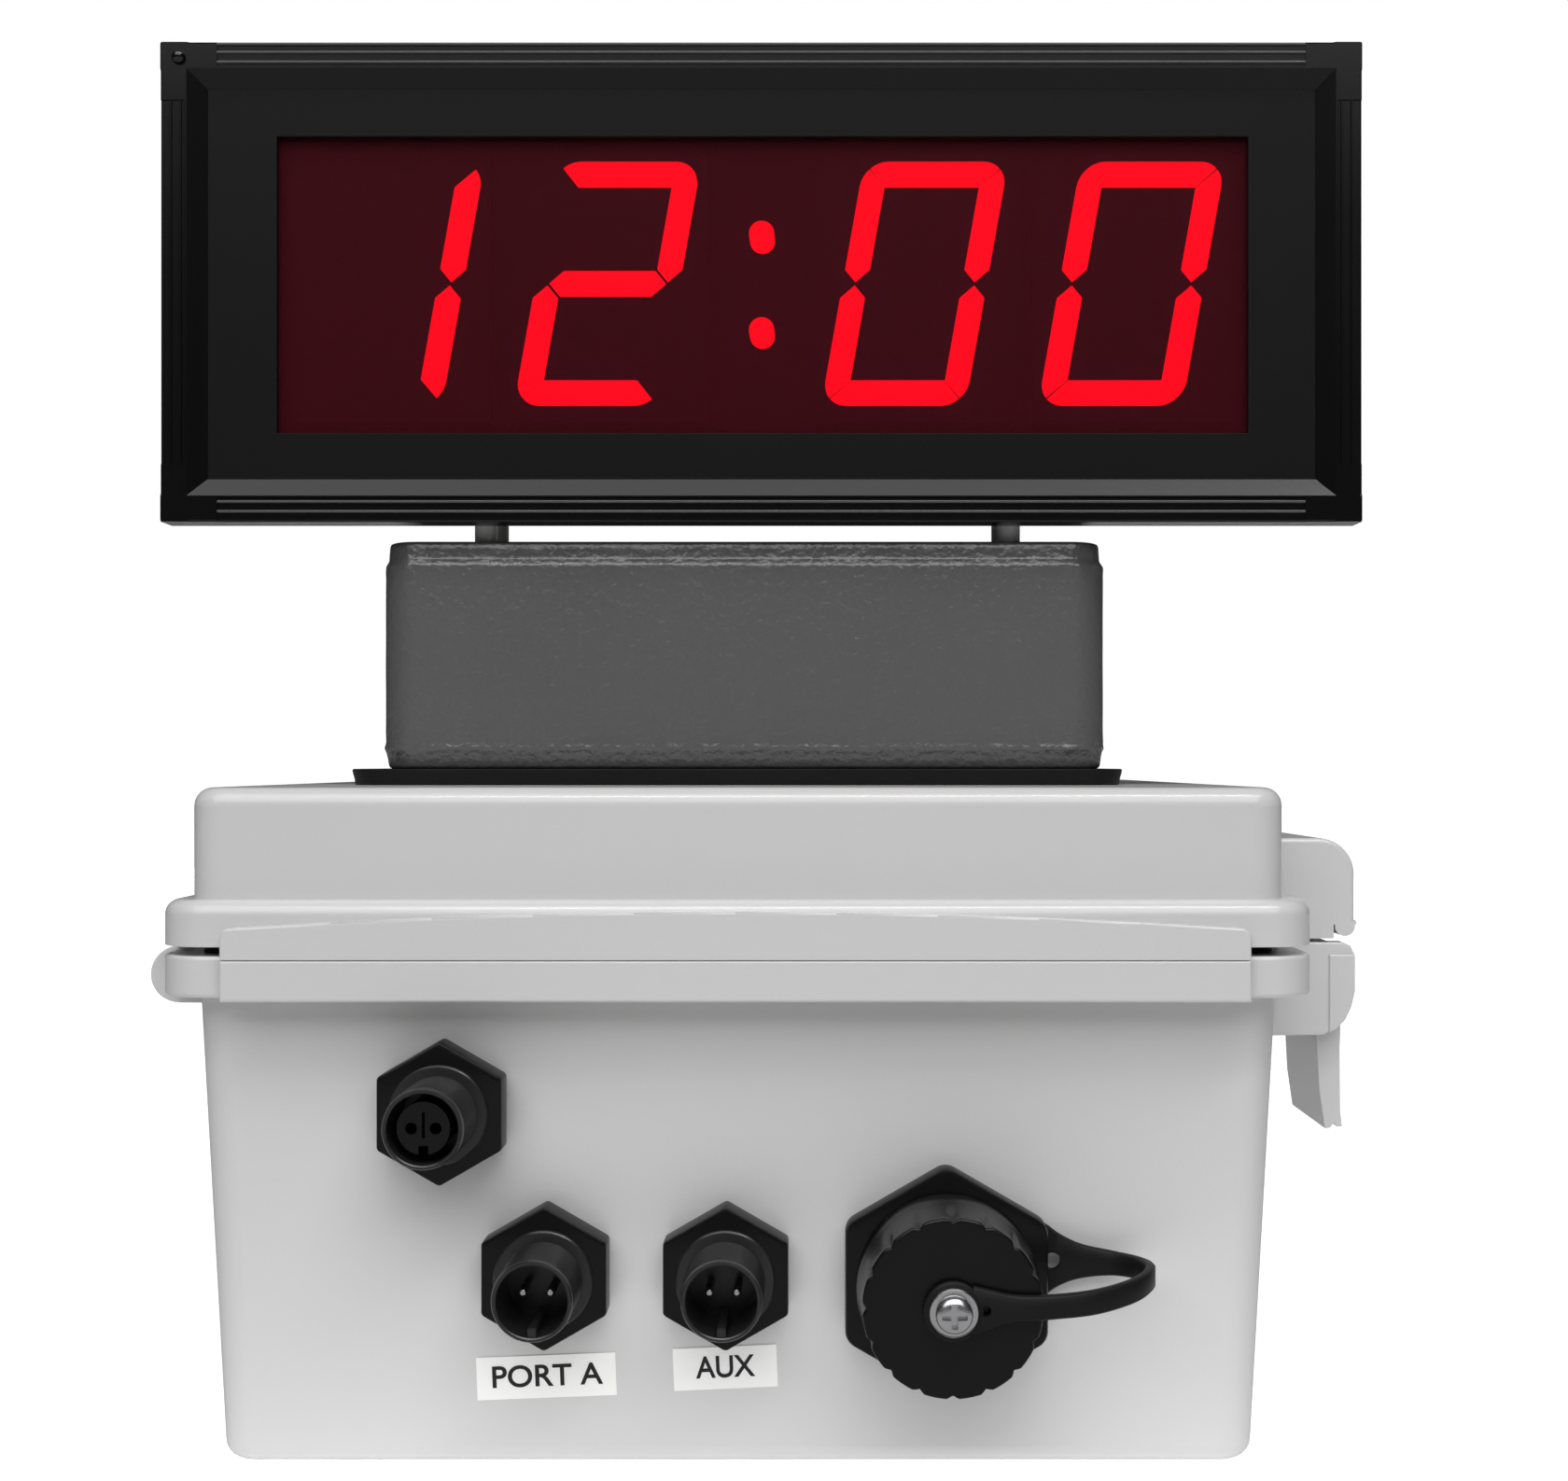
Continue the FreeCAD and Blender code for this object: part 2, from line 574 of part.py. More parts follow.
def small_port(place, female):
    x, z = place
    hex_head = hexagon(PORT_HEX, 1.0, x, z, out_of_wall(PORT_HEX_DEPTH))
    front = [edge for edge in hex_head.Edges if near(edge.BoundBox.YMax, END_WALL - PORT_HEX_DEPTH[1])]
    hex_head = hex_head.makeChamfer(0.5, front)
    collar = rod_y(PORT_COLLAR, x, z, out_of_wall(PORT_COLLAR_DEPTH))
    barrel = rod_y(PORT_BARREL, x, z, out_of_wall((0, PORT_REACH)))
    shank = rod_y(PORT_SHANK, x, z, (END_WALL - PORT_HEX_DEPTH[0] - 1, END_WALL + PORT_INNER_REACH))
    body = hex_head.fuse(collar).fuse(barrel).fuse(shank)
    cup_floor = PORT_REACH - PORT_CUP_DEPTH
    body = body.cut(rod_y(PORT_CUP, x, z, out_of_wall((cup_floor, PORT_REACH + 1))))
    if not female:
        key = block((x - 0.8, x + 0.8), out_of_wall((cup_floor, PORT_REACH - 0.6)),
                    (z - PORT_CUP - 0.3, z - PORT_CUP + 1.6))
        body = body.fuse(key)
        for side in (-CONTACT_OFFSET, CONTACT_OFFSET):
            through = (END_WALL - 12, END_WALL + PORT_INNER_REACH + 4)
            body = body.cut(rod_y(CONTACT_RADIUS + RUNNING, x + side, z, through))
    return body.removeSplitter()


def contact_pins(place):
    x, z = place
    pins = []
    for side in (-CONTACT_OFFSET, CONTACT_OFFSET):
        pin = rod_y(CONTACT_RADIUS, x + side, z, (END_WALL - 17.5, END_WALL + 19))
        tip = [edge for edge in pin.Edges if near(edge.BoundBox.YMax, END_WALL - 17.5)]
        pins.append(pin.makeFillet(0.5, tip))
    return pins


def socket_insert(place):
    """Round insert with two contact sockets, a slot between them and a key notch."""
    x, z = place
    insert = rod_y(INSERT_RADIUS, x, z, out_of_wall((PORT_REACH - PORT_CUP_DEPTH, PORT_REACH - 1.5)))
    for side in (-SOCKET_OFFSET, SOCKET_OFFSET):
        insert = insert.cut(rod_y(SOCKET_RADIUS, x + side, z, out_of_wall((PORT_REACH - 12, PORT_REACH))))
    slot = block((x - 0.3, x + 0.3), out_of_wall((PORT_REACH - 4, PORT_REACH)), (z - 1.8, z + 3.0))
    notch = block((x - 0.9, x + 0.9), out_of_wall((PORT_REACH - 13, PORT_REACH)), (z - 6, z - 3.2))
    return insert.cut(slot).cut(notch)


def port_gasket(place):
    x, z = place
    ring = rod_y(11.2, x, z, out_of_wall((0, PORT_HEX_DEPTH[0])))
    return ring.cut(rod_y(PORT_SHANK + SHANK_CLEARANCE, x, z, (END_WALL - 5, END_WALL + 5)))


def port_nut(place, across_flats, bore, thickness):
    x, z = place
    inner = END_WALL + WALL
    nut = hexagon(across_flats, 1.0, x, z, (inner, inner + thickness))
    return nut.cut(rod_y(bore, x, z, (inner - 1, inner + thickness + 1)))


def data_port_body():
    x, z = DATA_PORT
    body = hexagon(DATA_HEX, 3.2, x, z, out_of_wall(DATA_HEX_DEPTH))
    front = [edge for edge in body.Edges if near(edge.BoundBox.YMax, END_WALL - DATA_HEX_DEPTH[1])]
    body = body.makeFillet(0.6, front)
    body = body.fuse(rod_y(DATA_SHANK, x, z, (END_WALL - 5, END_WALL + 14)))
    body = body.fuse(rod_y(DATA_BARREL, x, z, out_of_wall((5, DATA_BARREL_END))))
    body = body.cut(rod_y(DATA_CUP, x, z, out_of_wall((DATA_CUP_FLOOR, DATA_BARREL_END + 1))))
    half_x, half_z = (half + JACK_CLEARANCE for half in JACK_HALF)
    return body.cut(block((x - half_x, x + half_x), (END_WALL - 12, END_WALL + 20),
                          (z - half_z, z + half_z)))


def data_jack():
    """Modular socket that fills the port's square opening."""
    x, z = DATA_PORT
    half_x, half_z = JACK_HALF
    jack = block((x - half_x, x + half_x), (END_WALL - 8, END_WALL + 13), (z - half_z, z + half_z))
    mouth = block((x - 6, x + 6), (END_WALL - 9, END_WALL + 6), (z - 5, z + 3.5))
    return jack.cut(mouth)


def port_cap():
    x, z = DATA_PORT
    cap = rod_y(CAP_RADIUS, x, z, out_of_wall(CAP_DEPTH))
    collar = rod_y(CAP_COLLAR, x, z, out_of_wall((CAP_DEPTH[0], CAP_DEPTH[0] + CAP_COLLAR_DEPTH)))
    cap = cap.fuse(collar)
    cap = cap.cut(rod_y(CAP_BORE, x, z, out_of_wall((0, CAP_DEPTH[1] - CAP_FACE))))
    hole = rod_y(CAP_SCREW_RADIUS + 0.15, x, z, out_of_wall((CAP_DEPTH[0], CAP_DEPTH[1] + 1)))
    return cap.cut(hole).removeSplitter()


def cap_seal():
    """Flat ring between the rim of the port and the inside of the cap's face."""
    x, z = DATA_PORT
    bore, outer, thickness = CAP_SEAL
    floor = CAP_DEPTH[1] - CAP_FACE
    ring = rod_y(outer, x, z, out_of_wall((floor - thickness, floor)))
    return ring.cut(rod_y(bore, x, z, out_of_wall((floor - thickness - 1, floor + 1))))


def cap_screw():
    """Pan-head screw with a cross recess, turned into the middle of the cap."""
    x, z = DATA_PORT
    seat = CAP_DEPTH[1] + STRAP_THICKNESS + 1.0
    radius, height = CAP_SCREW_HEAD
    head = rod_y(radius, x, z, out_of_wall((seat, seat + height)))
    rim = [edge for edge in head.Edges if near(edge.BoundBox.YMax, END_WALL - seat - height)]
    head = head.makeFillet(height / 2, rim)
    screw = head.fuse(rod_y(CAP_SCREW_RADIUS, x, z, out_of_wall((CAP_DEPTH[1] - 1.8, seat + 0.1))))
    for reach in ((1.9, 0.45), (0.45, 1.9)):
        slot = block((x - reach[0], x + reach[0]), out_of_wall((seat + 1.2, seat + 3)),
                     (z - reach[1], z + reach[1]))
        screw = screw.cut(slot)
    return screw


def strap_curve(offset):
    """One edge of the strap seen from above, beside its centre line."""
    front = END_WALL - CAP_DEPTH[1] - 0.15 - STRAP_THICKNESS / 2
    back = END_WALL - 2.55
    line = [(45.0, front), (57.0, front), (67.0, front + 1.6), (75.0, front + 6.6),
            (79.4, front + 14.0), (77.6, back - 2.8), (70.0, back - 0.2), (60.0, back)]
    points = []
    for index, (x, y) in enumerate(line):
        before = line[max(index - 1, 0)]
        after = line[min(index + 1, len(line) - 1)]
        along = Vector(after[0] - before[0], after[1] - before[1], 0).normalize()
        points.append(Vector(x, y, 0) + Vector(along.y, -along.x, 0) * offset)
    curve = Part.BSplineCurve()
    curve.interpolate(points)
    return curve.toShape(), points


def tether_strap():
    """Rubber strap: a ring under the cap screw, a loop to the side, and a ring behind the hexagon."""
    x, z = DATA_PORT
    middle = z + STRAP_RISE
    outer, outer_points = strap_curve(STRAP_THICKNESS / 2)
    inner, inner_points = strap_curve(-STRAP_THICKNESS / 2)
    ends = [Part.makeLine(outer_points[-1], inner_points[-1]),
            Part.makeLine(inner_points[0], outer_points[0])]
    face = Part.Face(Part.Wire([outer, ends[0], inner, ends[1]]))
    ribbon = face.extrude(Vector(0, 0, STRAP_WIDTH))
    ribbon.translate(Vector(0, 0, middle - STRAP_WIDTH / 2))
    front = (END_WALL - CAP_DEPTH[1] - 0.15 - STRAP_THICKNESS, END_WALL - CAP_DEPTH[1] - 0.15)
    eye = rod_y(STRAP_EYE, x, z, front)
    neck = [(x, z - 5.2), (x + 7, z - 2.6), (57, middle - 2.2), (57, middle + 2.2),
            (x + 7, z + 3.6), (x, z + 5.2)]
    eye = eye.fuse(prism_y(neck, front)).cut(rod_y(1.9, x, z, (front[0] - 1, front[1] + 1)))
    back = (END_WALL - 3.4, END_WALL - 1.7)
    ring = rod_y(STRAP_RING, x, z, back)
    tail = [(x, z - 16), (x + 12, z - 9), (64.0, middle - 4.6), (71.0, middle - 2.2),
            (71.0, middle + 2.2), (64.0, middle + 5.2), (x + 12, z + 14), (x, z + 17)]
    ring = ring.fuse(prism_y(tail, back))
    ring = ring.cut(rod_y(DATA_SHANK + SHANK_CLEARANCE, x, z, (back[0] - 1, back[1] + 1)))
    ring = ring.cut(rod_y(1.4, 61.2, z + 1.6, (back[0] - 1, back[1] + 1)))
    return ribbon.fuse(eye).fuse(ring).removeSplitter()


def label(place, half_width, half_height, tilt):
    x, z = place
    plate = block((x - half_width, x + half_width), (END_WALL - LABEL_THICKNESS, END_WALL),
                  (z - half_height, z + half_height))
    plate.rotate(Vector(x, 0, z), Vector(0, -1, 0), tilt)
    return plate


def make_ports():
    small = (SENSOR_PORT, POWER_PORT, INPUT_PORT)
    save("sensor_port_body", small_port(SENSOR_PORT, True))
    save("sensor_port_insert", socket_insert(SENSOR_PORT))
    save("power_port_body", small_port(POWER_PORT, False))
    save("power_port_pins", *contact_pins(POWER_PORT))
    save("input_port_body", small_port(INPUT_PORT, False))
    save("input_port_pins", *contact_pins(INPUT_PORT))
    save("port_gaskets", *[port_gasket(place) for place in small])
    bore = PORT_SHANK + SHANK_CLEARANCE
    save("port_nuts", *[port_nut(place, 21.0, bore, 5.0) for place in small])
    save("data_port_body", data_port_body())
    save("data_port_jack", data_jack())
    x, z = DATA_PORT
    data_bore = DATA_SHANK + SHANK_CLEARANCE
    wide = rod_y(17.5, x, z, out_of_wall((0, 1.7)))
    save("data_port_gasket", wide.cut(rod_y(data_bore, x, z, out_of_wall((-1, 3)))))
    save("data_port_nut", port_nut(DATA_PORT, 32.0, data_bore, 6.0))
    save("port_cap", port_cap())
    save("cap_screw", cap_screw())
    seat = CAP_DEPTH[1] + STRAP_THICKNESS + 0.3
    washer = rod_y(WASHER_RADIUS, x, z, out_of_wall((seat, seat + 0.7)))
    washer_bore = rod_y(CAP_SCREW_RADIUS + 0.1, x, z, out_of_wall((seat - 1, seat + 2)))
    save("cap_washer", washer.cut(washer_bore))
    save("cap_seal", cap_seal())
    save("tether_strap", tether_strap())
    save("power_label", label(POWER_LABEL, 13.55, 4.15, 2.3))
    save("input_label", label(INPUT_LABEL, 10.1, 4.1, 2.6))


# Mat and driver housing

def housing_screw_places():
    place = HOUSING_SCREW_PLACE
    return [(sx * place, sy * place) for sx in (-1, 1) for sy in (-1, 1)]


def standoff_places():
    return [(x, y) for x in (-STANDOFF_X, STANDOFF_X) for y in STANDOFF_Y]


def make_housing():
    mat = slab(MAT_HALF, MAT_HALF, 10, MAT_Z, MAT_CENTRE_X)
    shell = slab(HOUSING_HALF, HOUSING_HALF, HOUSING_CORNER, HOUSING_Z, HOUSING_CENTRE_X)
    rims = edges_where(shell, lambda p: near(p.z, HOUSING_Z[0]) or near(p.z, HOUSING_Z[1]))
    shell = shell.makeFillet(HOUSING_BEND, rims)
    inner = HOUSING_HALF - HOUSING_WALL
    cavity = (HOUSING_Z[0] + BASE_PLATE, HOUSING_Z[1] - HOUSING_WALL)
    shell = shell.cut(slab(inner, inner, 5, cavity, HOUSING_CENTRE_X))
    opening = (HOUSING_Z[0] - 1, HOUSING_Z[0] + BASE_PLATE + 1)
    shell = shell.cut(slab(BASE_PLATE_HALF, BASE_PLATE_HALF, 4, opening))
    plate_half = BASE_PLATE_HALF - 0.2
    plate = slab(plate_half, plate_half, 4, (HOUSING_Z[0], HOUSING_Z[0] + BASE_PLATE))
    for x, y in housing_screw_places():
        hole = rod_z(HOUSING_SCREW_RADIUS + 0.1, x, y, (LID_TOP - 1, HOUSING_Z[0] + BASE_PLATE + 1))
        mat = mat.cut(hole)
        plate = plate.cut(hole)
    for x, y in standoff_places():
        shell = shell.cut(rod_z(STANDOFF_SCREW_RADIUS + 0.1, x, y, (HOUSING_Z[1] - 5, HOUSING_Z[1] + 5)))
    save("rubber_mat", mat)
    save("driver_housing", shell)
    save("housing_base_plate", plate)
    under_lid = LID_TOP - WALL
    screws = [pan_screw(x, y, under_lid, HOUSING_SCREW_LENGTH, HOUSING_SCREW_RADIUS, up=-1)
              for x, y in housing_screw_places()]
    save("housing_screws", *screws)
    board_z = (HOUSING_Z[0] + BASE_PLATE + 2, HOUSING_Z[0] + BASE_PLATE + 3.6)
    save("driver_board", slab(DRIVER_BOARD_HALF, DRIVER_BOARD_HALF, 3, board_z))


# Display

def rail_profile(ribbed):
    """Rail section: (inward from the outer edge, depth from the front)."""
    sink = RAIL_SINK if ribbed else 0
    front = [(0, sink + 0.4), (0.4, sink)]
    if ribbed:
        for place in RIDGE_PLACES:
            front += [(place + side * RIDGE_HALF, depth)
                      for side, depth in ((-1, sink), (-0.5, 0.05), (0.5, 0.05), (1, sink))]
        front += [(RAIL_FLAT - 0.6, sink), (RAIL_FLAT - 0.4, 0)]
    return front + [(RAIL_FLAT, 0), (RAIL_WIDTH, RAIL_DROP), (RAIL_WIDTH, RAIL_DEPTH), (0, RAIL_DEPTH)]


def rail(corner, inward, along, length, ribbed):
    """Sweep the rail section from a corner of the frame."""
    origin = Vector(*corner)
    points = [origin + Vector(*inward) * u + Vector(0, d, 0) for u, d in rail_profile(ribbed)]
    face = Part.Face(Part.makePolygon(points + points[:1]))
    return face.extrude(Vector(*along) * length)


def frame_box():
    half = DISPLAY_WIDTH / 2
    return (DISPLAY_X - half, DISPLAY_X + half), DISPLAY_Z


def make_frame():
    (x0, x1), (z0, z1) = frame_box()
    wide, tall = CORNER_BLOCK
    y = DISPLAY_FRONT
    length = DISPLAY_WIDTH - 2 * wide
    height = z1 - z0 - 2 * tall
    save("frame_rail_top", rail((x0 + wide, y, z1), (0, 0, -1), (1, 0, 0), length, True))
    save("frame_rail_bottom", rail((x0 + wide, y, z0), (0, 0, 1), (1, 0, 0), length, True))
    save("frame_rail_left", rail((x0, y, z0 + tall), (1, 0, 0), (0, 0, 1), height, True))
    save("frame_rail_right", rail((x1, y, z0 + tall), (-1, 0, 0), (0, 0, 1), height, True))
    corners = []
    for x, side in ((x0, 1), (x1, -1)):
        for z, rise in ((z0, 1), (z1, -1)):
            across = rail((x, y, z), (0, 0, rise), (side, 0, 0), wide, False)
            upright = rail((x, y, z), (side, 0, 0), (0, 0, rise), tall, False)
            corners.append(across.fuse(upright).removeSplitter())
    save("frame_corners", *corners)
    sensor = Part.makeSphere(1.5, Vector(x0 + 4.0, y, z1 - 3.3))
    keep = block((x0, x0 + 10), (y - 3, y), (z1 - 10, z1))
    save("light_sensor", sensor.common(keep))


def depth_span(depth):
    return (DISPLAY_FRONT + depth[0], DISPLAY_FRONT + depth[1])


def make_display_body():
    (x0, x1), (z0, z1) = frame_box()
    edge = RAIL_WIDTH
    panel = block((x0 + edge, x1 - edge), depth_span(PANEL_DEPTH), (z0 + edge, z1 - edge))
    wx, wz = WINDOW_CENTRE
    half_w, half_h = WINDOW_SIZE[0] / 2, WINDOW_SIZE[1] / 2
    hole = block((wx - half_w, wx + half_w), (-100, 0), (wz - half_h, wz + half_h))
    save("bezel_panel", panel.cut(hole))
    half_w, half_h = half_w + WINDOW_LAP, half_h + WINDOW_LAP
    window = block((wx - half_w, wx + half_w), depth_span(WINDOW_DEPTH), (wz - half_h, wz + half_h))
    save("display_window", window)
    case_x = (x0 + CASE_INSET, x1 - CASE_INSET)
    case_z = (z0 + CASE_INSET, z1 - CASE_INSET)
    outer = block(case_x, depth_span((RAIL_DEPTH, CASE_DEPTH)), case_z)
    inner = block((case_x[0] + CASE_WALL, case_x[1] - CASE_WALL), depth_span((0, CASE_DEPTH + 1)),
                  (case_z[0] + CASE_WALL, case_z[1] - CASE_WALL))
    case = outer.cut(inner)
    cover = block(case_x, depth_span((CASE_DEPTH, CASE_DEPTH + REAR_COVER)), case_z)
    screws = []
    inset = COVER_SCREW_INSET
    drill = STANDOFF_SCREW_RADIUS + 0.1
    for x in (case_x[0] + inset, case_x[1] - inset):
        for z in (case_z[0] + inset, case_z[1] - inset):
            half = COVER_POST_HALF
            post = block((x - half, x + half), depth_span((CASE_DEPTH - 6, CASE_DEPTH)),
                         (z - half, z + half))
            hole = rod_y(drill, x, z, depth_span((CASE_DEPTH - 8, CASE_DEPTH + 4)))
            case = case.fuse(post).cut(hole)
            cover = cover.cut(hole)
            screws.append(cover_screw(x, z))
    for x, y in standoff_places():
        case = case.cut(rod_z(drill, x, y, (case_z[0] - 1, case_z[0] + 4)))
    save("display_case", case.removeSplitter())
    for index in range(VENT_COUNT):
        x = DISPLAY_X + (index - (VENT_COUNT - 1) / 2) * VENT_PITCH
        vent = block((x - 1.5, x + 1.5), depth_span((30, 40)), (case_z[0] + 12, case_z[0] + 30))
        cover = cover.cut(vent)
    save("rear_cover", cover)
    save("rear_cover_screws", *screws)
    board = block((case_x[0] + 3, case_x[1] - 3), depth_span(BOARD_DEPTH), (case_z[0] + 12, case_z[1] - 3))
    save("display_board", board)
    standoffs = []
    bolts = []
    for x, y in standoff_places():
        spacer = rod_z(STANDOFF_RADIUS, x, y, (HOUSING_Z[1], case_z[0]))
        standoffs.append(spacer.cut(rod_z(drill, x, y, (180, 200))))
        bolts.append(pan_screw(x, y, case_z[0] + CASE_WALL, 16.0, STANDOFF_SCREW_RADIUS))
    save("display_standoffs", *standoffs)
    save("standoff_screws", *bolts)


def cover_screw(x, z):
    seat = DISPLAY_FRONT + CASE_DEPTH + REAR_COVER
    radius, height = COVER_SCREW_HEAD
    shank = rod_y(STANDOFF_SCREW_RADIUS, x, z, (seat - COVER_SCREW_LENGTH, seat))
    head = rod_y(radius, x, z, (seat, seat + height))
    slot = block((x - 1.8, x + 1.8), (seat + 0.8, seat + 2), (z - 0.35, z + 0.35))
    other = block((x - 0.35, x + 0.35), (seat + 0.8, seat + 2), (z - 1.8, z + 1.8))
    return shank.fuse(head).cut(slot).cut(other)


def corner_arc(side_u, side_v, first, last):
    """Rounded outer corner of a digit, centred on the inner corner, angles from the u axis."""
    centre_u = side_u * (DIGIT_HALF_WIDTH - SEGMENT_WIDTH)
    centre_v = side_v * (DIGIT_HALF_HEIGHT - SEGMENT_WIDTH)
    steps = 5
    angles = [math.radians(first + (last - first) * step / steps) for step in range(steps + 1)]
    return [(centre_u + side_u * SEGMENT_WIDTH * math.cos(a),
             centre_v + side_v * SEGMENT_WIDTH * math.sin(a)) for a in angles]


def bar_outline(side_v):
    """Top or bottom bar of a digit."""
    inner_u = DIGIT_HALF_WIDTH - SEGMENT_WIDTH - SEGMENT_SEAM
    inner_v = side_v * (DIGIT_HALF_HEIGHT - SEGMENT_WIDTH)
    right = corner_arc(1, side_v, 47, 90)
    left = corner_arc(-1, side_v, 90, 47)
    return [(inner_u, inner_v)] + right + left + [(-inner_u, inner_v)]


def upright_outline(side_u, side_v):
    """One of the four upright segments, with a pointed end at the middle of the digit."""
    inner_u = side_u * (DIGIT_HALF_WIDTH - SEGMENT_WIDTH)
    middle_u = side_u * (DIGIT_HALF_WIDTH - SEGMENT_WIDTH / 2)
    outer_u = side_u * DIGIT_HALF_WIDTH
    tip = side_v * SEGMENT_TIP
    shoulder = side_v * (SEGMENT_TIP + SEGMENT_WIDTH / 2)
    inner_v = side_v * (DIGIT_HALF_HEIGHT - SEGMENT_WIDTH - SEGMENT_SEAM)
    arc = corner_arc(side_u, side_v, 43, 0)
    return [(inner_u, inner_v)] + arc + [(outer_u, shoulder), (middle_u, tip), (inner_u, shoulder)]


def middle_outline():
    half = SEGMENT_WIDTH / 2
    tip = DIGIT_HALF_WIDTH - half - 0.35
    shoulder = tip - half
    return [(-tip, 0), (-shoulder, half), (shoulder, half), (tip, 0), (shoulder, -half),
            (-shoulder, -half)]


def segment_outlines():
    return {"a": bar_outline(1), "b": upright_outline(1, 1), "c": upright_outline(1, -1),
            "d": bar_outline(-1), "e": upright_outline(-1, -1), "f": upright_outline(-1, 1),
            "g": middle_outline()}


def make_digits():
    outlines = segment_outlines()
    cx, cz = DIGIT_CENTRE
    lit = []
    for number, (offset, names) in enumerate(zip(DIGIT_OFFSETS, DIGIT_SEGMENTS), 1):
        for name in names:
            points = [(cx + offset + u + v * DIGIT_SLANT, cz + v) for u, v in outlines[name]]
            lit.append(prism_y(points, depth_span(SEGMENT_DEPTH)))
        half_x, half_z = DIGIT_BLOCK_HALF
        block_x = (cx + offset - half_x, cx + offset + half_x)
        block_z = (cz - half_z, cz + half_z)
        save("digit_block_%d" % number, block(block_x, depth_span(BLOCK_DEPTH), block_z))
    save("digit_segments", *lit)
    dots = []
    for side in (-1, 1):
        dots.append(rod_y(COLON_RADIUS, cx + 0.1, cz + 0.4 + side * COLON_HALF_SPACING,
                          depth_span((SEGMENT_DEPTH[0], BOARD_DEPTH[0]))))
    save("colon_lamps", *dots)


def main():
    os.makedirs(OUT, exist_ok=True)
    make_enclosure()
    make_inside()
    make_ports()
    make_housing()
    make_frame()
    make_display_body()
    make_digits()


main()
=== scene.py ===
"""Looks of the countdown signal controller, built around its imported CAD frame."""
import json
import math

import bmesh
import bpy
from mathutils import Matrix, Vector, noise


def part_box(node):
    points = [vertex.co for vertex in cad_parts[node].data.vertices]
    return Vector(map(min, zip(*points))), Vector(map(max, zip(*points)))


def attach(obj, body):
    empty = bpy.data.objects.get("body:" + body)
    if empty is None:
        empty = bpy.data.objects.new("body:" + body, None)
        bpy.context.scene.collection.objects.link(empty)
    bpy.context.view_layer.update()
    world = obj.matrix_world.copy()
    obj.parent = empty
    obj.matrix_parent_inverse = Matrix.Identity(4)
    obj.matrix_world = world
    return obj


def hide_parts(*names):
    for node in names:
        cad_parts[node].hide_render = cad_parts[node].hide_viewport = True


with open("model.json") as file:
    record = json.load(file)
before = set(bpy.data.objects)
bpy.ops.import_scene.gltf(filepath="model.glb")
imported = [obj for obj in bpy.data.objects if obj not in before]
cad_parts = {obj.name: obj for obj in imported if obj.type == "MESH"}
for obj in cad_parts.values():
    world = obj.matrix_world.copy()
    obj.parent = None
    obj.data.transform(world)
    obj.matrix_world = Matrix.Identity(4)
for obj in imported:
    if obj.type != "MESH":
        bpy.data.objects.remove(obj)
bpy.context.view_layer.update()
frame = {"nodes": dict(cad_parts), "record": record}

MM = 0.001
NODES = frame["nodes"]
SLOT_OF = {part["node"]: part["material_slot"] for part in frame["record"]["subparts"]}
BODIES = frame["record"]["behaviour"]["bodies"]
BODY_OF = {node: body for body, nodes in BODIES.items() for node in nodes}

# The end wall of the enclosure, which the ports stand on
WALL_Y = -125 * MM


# Camera and studio

CAMERA_PLACE = (16.4 * MM, -515 * MM, 136.5 * MM)
CAMERA_LENS = 46.0
CAMERA_SENSOR = 36.0
CAMERA_SHIFT = (-0.0238, 0.0146)
CAMERA_CLIP = (0.01, 50)
WORLD_LIGHT = 0.045

# Area lights: place, size and power
LIGHTS_AIM = (0, 0, 0.12)
KEY_LIGHT = ((-0.10, -1.54, 1.96), (3.4, 2.3), 64.0)
TUBE_LIGHT = ((0.25, -0.70, 1.44), (1.4, 0.04), 6.0)
BACK_LIGHT = ((0.3, 1.9, 0.25), (2.6, 0.5), 16.0)

# The fades run from a near to a far distance from the object's middle
FLOOR_SIZE = 60
FLOOR_ALBEDO = 0.5
FLOOR_BOUNCE = 1.05
FLOOR_BOUNCE_FADE = (0.17, 0.34)
FLOOR_GLOW = 0.86
FLOOR_FADE = (0.4, 2.5)


def make_camera():
    data = bpy.data.cameras.new("camera")
    data.lens = CAMERA_LENS
    data.sensor_width = CAMERA_SENSOR
    data.shift_x, data.shift_y = CAMERA_SHIFT
    data.clip_start, data.clip_end = CAMERA_CLIP
    camera = bpy.data.objects.new("camera", data)
    camera.location = CAMERA_PLACE
    camera.rotation_euler = (math.radians(90), 0, 0)
    bpy.context.scene.collection.objects.link(camera)
    bpy.context.scene.camera = camera


def area_light(name, place, size, power):
    """Soft box aimed at the middle of the object."""
    data = bpy.data.lights.new(name, "AREA")
    data.shape = "RECTANGLE"
    data.size, data.size_y = size
    data.energy = power
    light = bpy.data.objects.new(name, data)
    light.location = place
    light.rotation_mode = "QUATERNION"
    light.rotation_quaternion = (Vector(LIGHTS_AIM) - Vector(place)).to_track_quat("-Z", "Y")
    bpy.context.scene.collection.objects.link(light)
    return light


def seen_strength(tree, hidden, seen, socket):
    """Drive a strength with one value for the camera's own rays and another for all others."""
    rays = tree.nodes.new("ShaderNodeLightPath")
    strength = add_node(tree, "ShaderNodeMapRange", **{"To Min": hidden, "To Max": seen})
    tree.links.new(rays.outputs["Is Camera Ray"], strength.inputs["Value"])
    tree.links.new(strength.outputs["Result"], socket)
    return strength


def make_world():
    world = bpy.data.worlds.new("studio")
    world.use_nodes = True
    background = world.node_tree.nodes["Background"]
    background.inputs["Color"].default_value = (1, 1, 1, 1)
    seen_strength(world.node_tree, WORLD_LIGHT, 1.0, background.inputs["Strength"])
    bpy.context.scene.world = world


